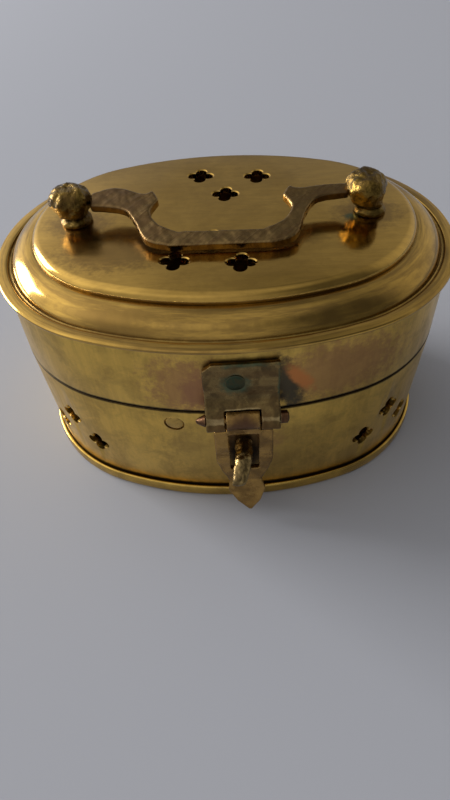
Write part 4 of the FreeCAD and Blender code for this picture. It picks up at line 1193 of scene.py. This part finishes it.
ALL_ROUND = (500, 500)
# Painted shade in the seam between lid and base: a thin near-black band round the box.
SEAM_SHADE = (SHADE_AND_SOOT, (0, 0, HINGE_Z / MM), ALL_ROUND + (0.9,), 0, 0.4, 0.97)
FINISHES = {
    "lid_polish": dict(bright=GOLDEN, dull=(0.34, 0.20, 0.045, 1), patch=20, cover=0.4,
                       rough=(0.12, 0.25), sweep=True, grain=(5, 5, 2.2), grain_depth=0.008,
                       streak=0.55, wave=(8, 0.08), grime_and_shade=(2.2, 0.85), rub_and_glint=(0.4, 0.3),
                       ridge=((2.2, 2.2, 0.55), 0.13), flat_above=TOP_HIGH.z - 1.4 * MM,
                       stains_and_shade=((UMBER, (37, -2, 65.5), (10, 8, 3), 0, 1.2, 0.6),
                               (UMBER, (-37, -2, 65.5), (10, 8, 3), 0, 1.2, 0.6),
                               (VERDIGRIS, (32.8, -3.6, 65.5), (2.4, 2.0, 2), 0, 1.5, 0.75),
                               # darker patch before the left knob: tarnish, and a painted dark
                               # reflection of the knob
                               (UMBER, (-27, -16, 65.5), (16, 9, 3), 0, 1.6, 0.55),
                               # painted shadow and dark reflection under the handle's bar
                               (UMBER, (0, -12, 65.5), (30, 5, 3), 0, 1.2, 0.35))),
    "skirt_satin": dict(bright=YELLOW, dull=OLIVE, patch=8, cover=0.42, rough=(0.28, 0.46),
                        grain=(900, 900, 90), grain_depth=0.035, streak=0.15, wave=(7, 0.14),
                        grime_and_shade=(1.2, 0.5), rub_and_glint=(0.3, 0.25),
                        stains_and_shade=((ROSE, (-9, -44, 46), (11, 60, 11), 0, 2.2, 0.6),
                                (ROSE, (-6.5, -44, 44), (4.5, 60, 8), 0, 1.8, 0.6),
                                (ROSE, (27, -40, 47), (20, 60, 11), 0, 1.9, 0.6),
                                (SLATE, (15.0, -43.5, 45), (3.8, 60, 11), 0.25, 1.6, 0.9),
                                (COPPER, (17.9, -43.5, 46.8), (2.3, 60, 6.2), 0.62, 1.3, 0.97),
                                # painted shade on the skirt along the top edge of the hasp
                                (SHADE_AND_SOOT, (4.6, -44, 53.5), (10, 60, 2.0), 0, 1.0, 0.75),
                                # painted shade in the seam below the skirt, and under the
                                # overhanging lip at the skirt's top
                                SEAM_SHADE,
                                (SHADE_AND_SOOT, (0, 0, SKIRT_HIGH.z / MM), ALL_ROUND + (1.2,), 0, 0.9,
                                 0.75))),
    "wall_satin": dict(bright=YELLOW, dull=OLIVE, patch=8, cover=0.42, rough=(0.28, 0.46),
                       grain=(900, 900, 90), grain_depth=0.03, streak=0.15, wave=(8, 0.14),
                       grime_and_shade=(1.2, 0.6), rub_and_glint=(0.3, 0.25),
                       stains_and_shade=((TOBACCO, (4, -43, 20), (26, 60, 18), 0, 1.6, 0.4),
                               (ROSE, (6, -42, 24), (9, 30, 12), 0, 1.8, 0.45),
                               # painted shade on the wall behind the hasp's slot
                               (SHADE_AND_SOOT, (4.2, -42, 20), (6.0, 30, 13), 0, 0.5, 0.97),
                               # painted shade where the wall goes down into the pan, and in the
                               # seam above
                               (SHADE_AND_SOOT, (0, 0, PAN_HIGH.z / MM), ALL_ROUND + (1.4,), 0, 1.0, 0.95),
                               SEAM_SHADE)),
    "pan_bright": dict(bright=YELLOW, dull=OLIVE, patch=9, cover=0.5, rough=(0.18, 0.36),
                       sweep=True, grain=(7, 7, 3), grain_depth=0.01, streak=0.25,
                       wave=(6, 0.12), grime_and_shade=(1.2, 0.8), rub_and_glint=(0.35, 0.6)),
    "knob_cast": dict(bright=(0.22, 0.14, 0.032, 1), dull=(0.065, 0.036, 0.013, 1), patch=4,
                      cover=0.8, rough=(0.12, 0.30), grain_depth=0.004, wave=(2.4, 0.35),
                      skin=(1.1, 0.3), grime_and_shade=(2.5, 0.85), rub_and_glint=(0.6, 0.5)),
    "handle_brushed": dict(bright=(0.31, 0.20, 0.075, 1), dull=(0.12, 0.075, 0.032, 1), patch=12,
                           cover=0.5, rough=(0.22, 0.38), grain=(1700, 110, 300),
                           turn=(0, 0, 0.8), grain_depth=0.10, streak=0.7, wave=(5, 0.12),
                           grime_and_shade=(2.0, 0.5), rub_and_glint=(0.45, 0.8),
                           stains_and_shade=((PEAT, (-27, 0, 68), (9, 14, 14), 0, 1.4, 0.55),
                                   (PEAT, (28, 0, 68), (7, 14, 14), 0, 1.4, 0.35))),
    "hasp_dark": dict(bright=(0.27, 0.185, 0.07, 1), dull=(0.075, 0.05, 0.024, 1), patch=5,
                      cover=0.8, rough=(0.22, 0.42), grain=(120, 120, 900), grain_depth=0.04,
                      streak=0.4, wave=(4, 0.2), skin=(0.9, 0.03), grime_and_shade=(2.0, 0.6),
                      rub_and_glint=(0.5, 0.5),
                      stains_and_shade=((VERDIGRIS, (2.9, -45.6, 48.2), (4.0, 60, 3.6), 0, 1.3, 0.75),
                              (VERDIGRIS, (6, -46, 54.2), (10, 3, 1.2), 0, 1.8, 0.7),
                              (VERDIGRIS, (13.2, -46, 48), (0.9, 60, 6), 0, 1.6, 0.7),
                              (UMBER, (4.2, -50, 37), (10, 60, 5), 0, 0.9, 0.85))),
    "leaf_worn": dict(bright=(0.46, 0.275, 0.08, 1), dull=(0.15, 0.088, 0.033, 1), patch=5,
                      cover=0.75, rough=(0.2, 0.38), grain=(200, 200, 800), grain_depth=0.03,
                      streak=0.3, wave=(4, 0.15), skin=(0.8, 0.03), grime_and_shade=(1.8, 0.7),
                      rub_and_glint=(0.35, 0.8),
                      stains_and_shade=((PLUM, (4.2, -49, 37.5), (5, 4, 4.5), 0, 0.5, 0.85),)),
    "pin_brown": dict(bright=(0.15, 0.075, 0.035, 1), dull=(0.05, 0.028, 0.02, 1), patch=3,
                      cover=0.8, rough=(0.28, 0.5), skin=(0.8, 0.06), grime_and_shade=(1.0, 0.5),
                      rub_and_glint=(0.3, 0.4)),
    "rivet_green": dict(bright=(0.07, 0.065, 0.032, 1), dull=(0.04, 0.07, 0.045, 1), patch=2,
                        cover=0.8, rough=(0.3, 0.5), skin=(0.8, 0.04), grime_and_shade=(0.8, 0.6),
                        rub_and_glint=(0.2, 0.1)),
    "horn_cast": dict(bright=(0.34, 0.24, 0.095, 1), dull=(0.09, 0.06, 0.028, 1), patch=3,
                      cover=0.75, rough=(0.14, 0.34), wave=(2.5, 0.25), skin=(0.9, 0.12),
                      grime_and_shade=(1.5, 0.6), rub_and_glint=(0.5, 0.7)),
    "flush_rivet": dict(bright=(0.56, 0.36, 0.095, 1), dull=OLIVE, patch=2.5, cover=0.5,
                        rough=(0.2, 0.36), grain=(500, 500, 500), grime_and_shade=(1.4, 1.0),
                        rub_and_glint=(0.25, 0.35)),
    "hinge_dull": dict(bright=(0.34, 0.24, 0.10, 1), dull=UMBER, patch=6, cover=0.7,
                       rough=(0.26, 0.44), grain=(120, 120, 900), grain_depth=0.03, streak=0.3,
                       wave=(4, 0.12), skin=(0.8, 0.03), grime_and_shade=(1.8, 0.7), rub_and_glint=(0.35, 0.6),
                       stains_and_shade=((VERDIGRIS, (0, 47, 37), (16, 5, 2.2), 0, 1.4, 0.5),)),
    "hinge_rivet": dict(bright=(0.50, 0.36, 0.15, 1), dull=UMBER, patch=3, cover=0.6,
                        rough=(0.2, 0.4), skin=(0.8, 0.05), grime_and_shade=(0.9, 0.8), rub_and_glint=(0.3, 0.6)),
    "inside_dull": dict(bright=(0.45, 0.31, 0.12, 1), dull=OLIVE, patch=10, cover=0.7,
                        rough=(0.32, 0.5), grain=(700, 700, 60), grain_depth=0.02, streak=0.2,
                        wave=(8, 0.10), grime_and_shade=(1.5, 0.6), rub_and_glint=(0.25, 0.3)),
}


# ---------------------------------------------------------------- stage
CAMERA_PLACE = Vector((0.006158, -0.137956, 0.146069))
CAMERA_YAW = -0.064
CAMERA_PITCH = 0.832
CAMERA_ROLL = -0.073
FOCAL_HEIGHTS = 0.7417            # focal length over the height of the frame


def add_camera():
    data = bpy.data.cameras.new("camera")
    data.sensor_fit = "VERTICAL"
    data.sensor_height = 24
    data.lens = FOCAL_HEIGHTS * data.sensor_height
    data.clip_start = 0.005
    camera = bpy.data.objects.new("camera", data)
    bpy.context.collection.objects.link(camera)
    ahead = Vector((math.sin(CAMERA_YAW) * math.cos(CAMERA_PITCH),
                    math.cos(CAMERA_YAW) * math.cos(CAMERA_PITCH), -math.sin(CAMERA_PITCH)))
    right = ahead.cross(UP).normalized()
    above = right.cross(ahead)
    cos_roll, sin_roll = math.cos(CAMERA_ROLL), math.sin(CAMERA_ROLL)
    right, above = (right * cos_roll + above * sin_roll, above * cos_roll - right * sin_roll)
    camera.matrix_world = (Matrix.Translation(CAMERA_PLACE)
                           @ Matrix((right, above, -ahead)).transposed().to_4x4())
    bpy.context.scene.camera = camera


def add_softbox(name, place, target, size, power, colour):
    """Rectangular area light at a place, facing its target."""
    data = bpy.data.lights.new(name, "AREA")
    data.shape = "RECTANGLE"
    data.size, data.size_y = size
    data.energy = power
    data.color = colour
    lamp = bpy.data.objects.new(name, data)
    bpy.context.collection.objects.link(lamp)
    lamp.location = place
    lamp.rotation_euler = (Vector(target) - Vector(place)).to_track_quat("-Z", "Y").to_euler()


FLOOR_COLOUR = (0.41, 0.425, 0.478, 1)


def add_floor():
    """Plain pale floor."""
    bpy.ops.object.select_all(action="DESELECT")
    bpy.ops.mesh.primitive_plane_add(size=6)
    floor = bpy.context.active_object
    floor.name = "floor"
    material = bpy.data.materials.new("pale_floor")
    material.use_nodes = True
    shader = material.node_tree.nodes["Principled BSDF"]
    fill(material.node_tree, shader, {"Base Color": FLOOR_COLOUR, "Roughness": 0.95,
                                      "Specular IOR Level": 0.1})
    floor.data.materials.append(material)


ROOM_LIGHT = (0.10, 0.098, 0.095, 1)
# direction, the cosines at which a glow starts and is full, and its colour
ROOM_GLOWS = (((-0.45, 0.80, 0.42), 0.70, 0.97, (0.20, 0.197, 0.20, 1)),
              ((-0.35, -0.10, 0.93), 0.60, 0.97, (0.34, 0.335, 0.33, 1)),
              ((-0.92, 0.25, 0.30), 0.45, 0.98, (0.92, 0.90, 0.87, 1)),
              ((-0.45, -0.80, 0.25), 0.45, 1.0, (0.35, 0.345, 0.34, 1)),
              ((0.80, 0.50, 0.25), 0.55, 0.98, (0.38, 0.37, 0.35, 1)))


def add_world():
    """Dim room with soft glows, the brightest of them to the left."""
    world = bpy.data.worlds.new("studio")
    world.use_nodes = True
    tree = world.node_tree
    facing = put(tree, "TexCoord").outputs["Generated"]
    colour = ROOM_LIGHT
    for direction, outer, inner, glow in ROOM_GLOWS:
        unit = Vector(direction).normalized()
        along = put(tree, "VectorMath", {0: facing, 1: tuple(unit)},
                    operation="DOT_PRODUCT").outputs["Value"]
        colour = mixed(tree, ramp(tree, along, outer, inner), colour, glow, "ADD")
    background = tree.nodes["Background"]
    tree.links.new(colour, background.inputs["Color"])
    bpy.context.scene.world = world


# ---------------------------------------------------------------- assembly
def finish_node(name, finish):
    """Material on a CAD node that is carried over."""
    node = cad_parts[name]
    node.data.materials.clear()
    node.data.materials.append(MATERIALS[finish])


def add(piece, finish, slot, body, *nodes):
    """Give a piece its finish, the body it moves with and the node it stands for; the slot is not
    used.
    """
    piece.data.materials.clear()
    piece.data.materials.append(MATERIALS[finish])
    if FINISHES[finish].get("sweep"):
        mark_sweep(piece)
    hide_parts(*nodes)
    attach(piece, body)


MATERIALS = {name: brass(name, **values) for name, values in FINISHES.items()}

add(make_lower_wall(), "wall_satin", "aged_brass", "base", "lower_wall")
add(make_base_pan(), "pan_bright", "bright_brass", "base", "base_pan")
add(make_lid_skirt(), "skirt_satin", "aged_brass", "lid", "lid_skirt")
add(make_lid_top(), "lid_polish", "polished_brass", "lid", "lid_top")
for side, post in ((-1, "left_post"), (1, "right_post")):
    add(make_knob(side), "knob_cast", "bright_brass", "lid", post)
add(make_handle(), "handle_brushed", "polished_brass", "handle", "handle")
add(make_hasp_upper_leaf(), "hasp_dark", "dark_brass", "lid", "hasp_upper_leaf")
add(make_hasp_lower_leaf(), "leaf_worn", "dark_brass", "hasp_leaf", "hasp_lower_leaf")
add(make_hasp_pin(), "pin_brown", "dark_brass", "lid", "hasp_pin")
add(make_hasp_rivet(), "rivet_green", "dark_brass", "lid", "hasp_rivet")
add(make_horn(), "horn_cast", "polished_brass", "base", "latch_horn")
add(make_collar_rivets(), "flush_rivet", "polished_brass", "base", "collar_rivets")
add(make_hinge_leaf("hinge_lid_plate", 1), "hinge_dull", "dark_brass", "lid", "hinge_lid_leaf")
add(make_hinge_leaf("hinge_base_plate", -1), "hinge_dull", "dark_brass", "base",
    "hinge_base_leaf")
add(make_hinge_pin(), "hinge_rivet", "dark_brass", "base", "hinge_pin")
add(make_hinge_rivets("hinge_lid_rivet_heads", "hinge_lid_rivets", 1), "hinge_rivet",
    "aged_brass", "lid", "hinge_lid_rivets")
add(make_hinge_rivets("hinge_base_rivet_heads", "hinge_base_rivets", -1), "hinge_rivet",
    "aged_brass", "base", "hinge_base_rivets")
for node in ("inner_collar", "hasp_rivet_washer", "latch_horn_washer", "post_washers"):
    finish_node(node, "inside_dull")

add_camera()
add_floor()
add_world()
add_softbox("window", place=(-1.75, 0.75, 0.46), target=(0, 0, 0.04), size=(0.9, 1.1),
            power=54, colour=(1, 0.985, 0.96))
bpy.context.scene.view_settings.view_transform = "Standard"
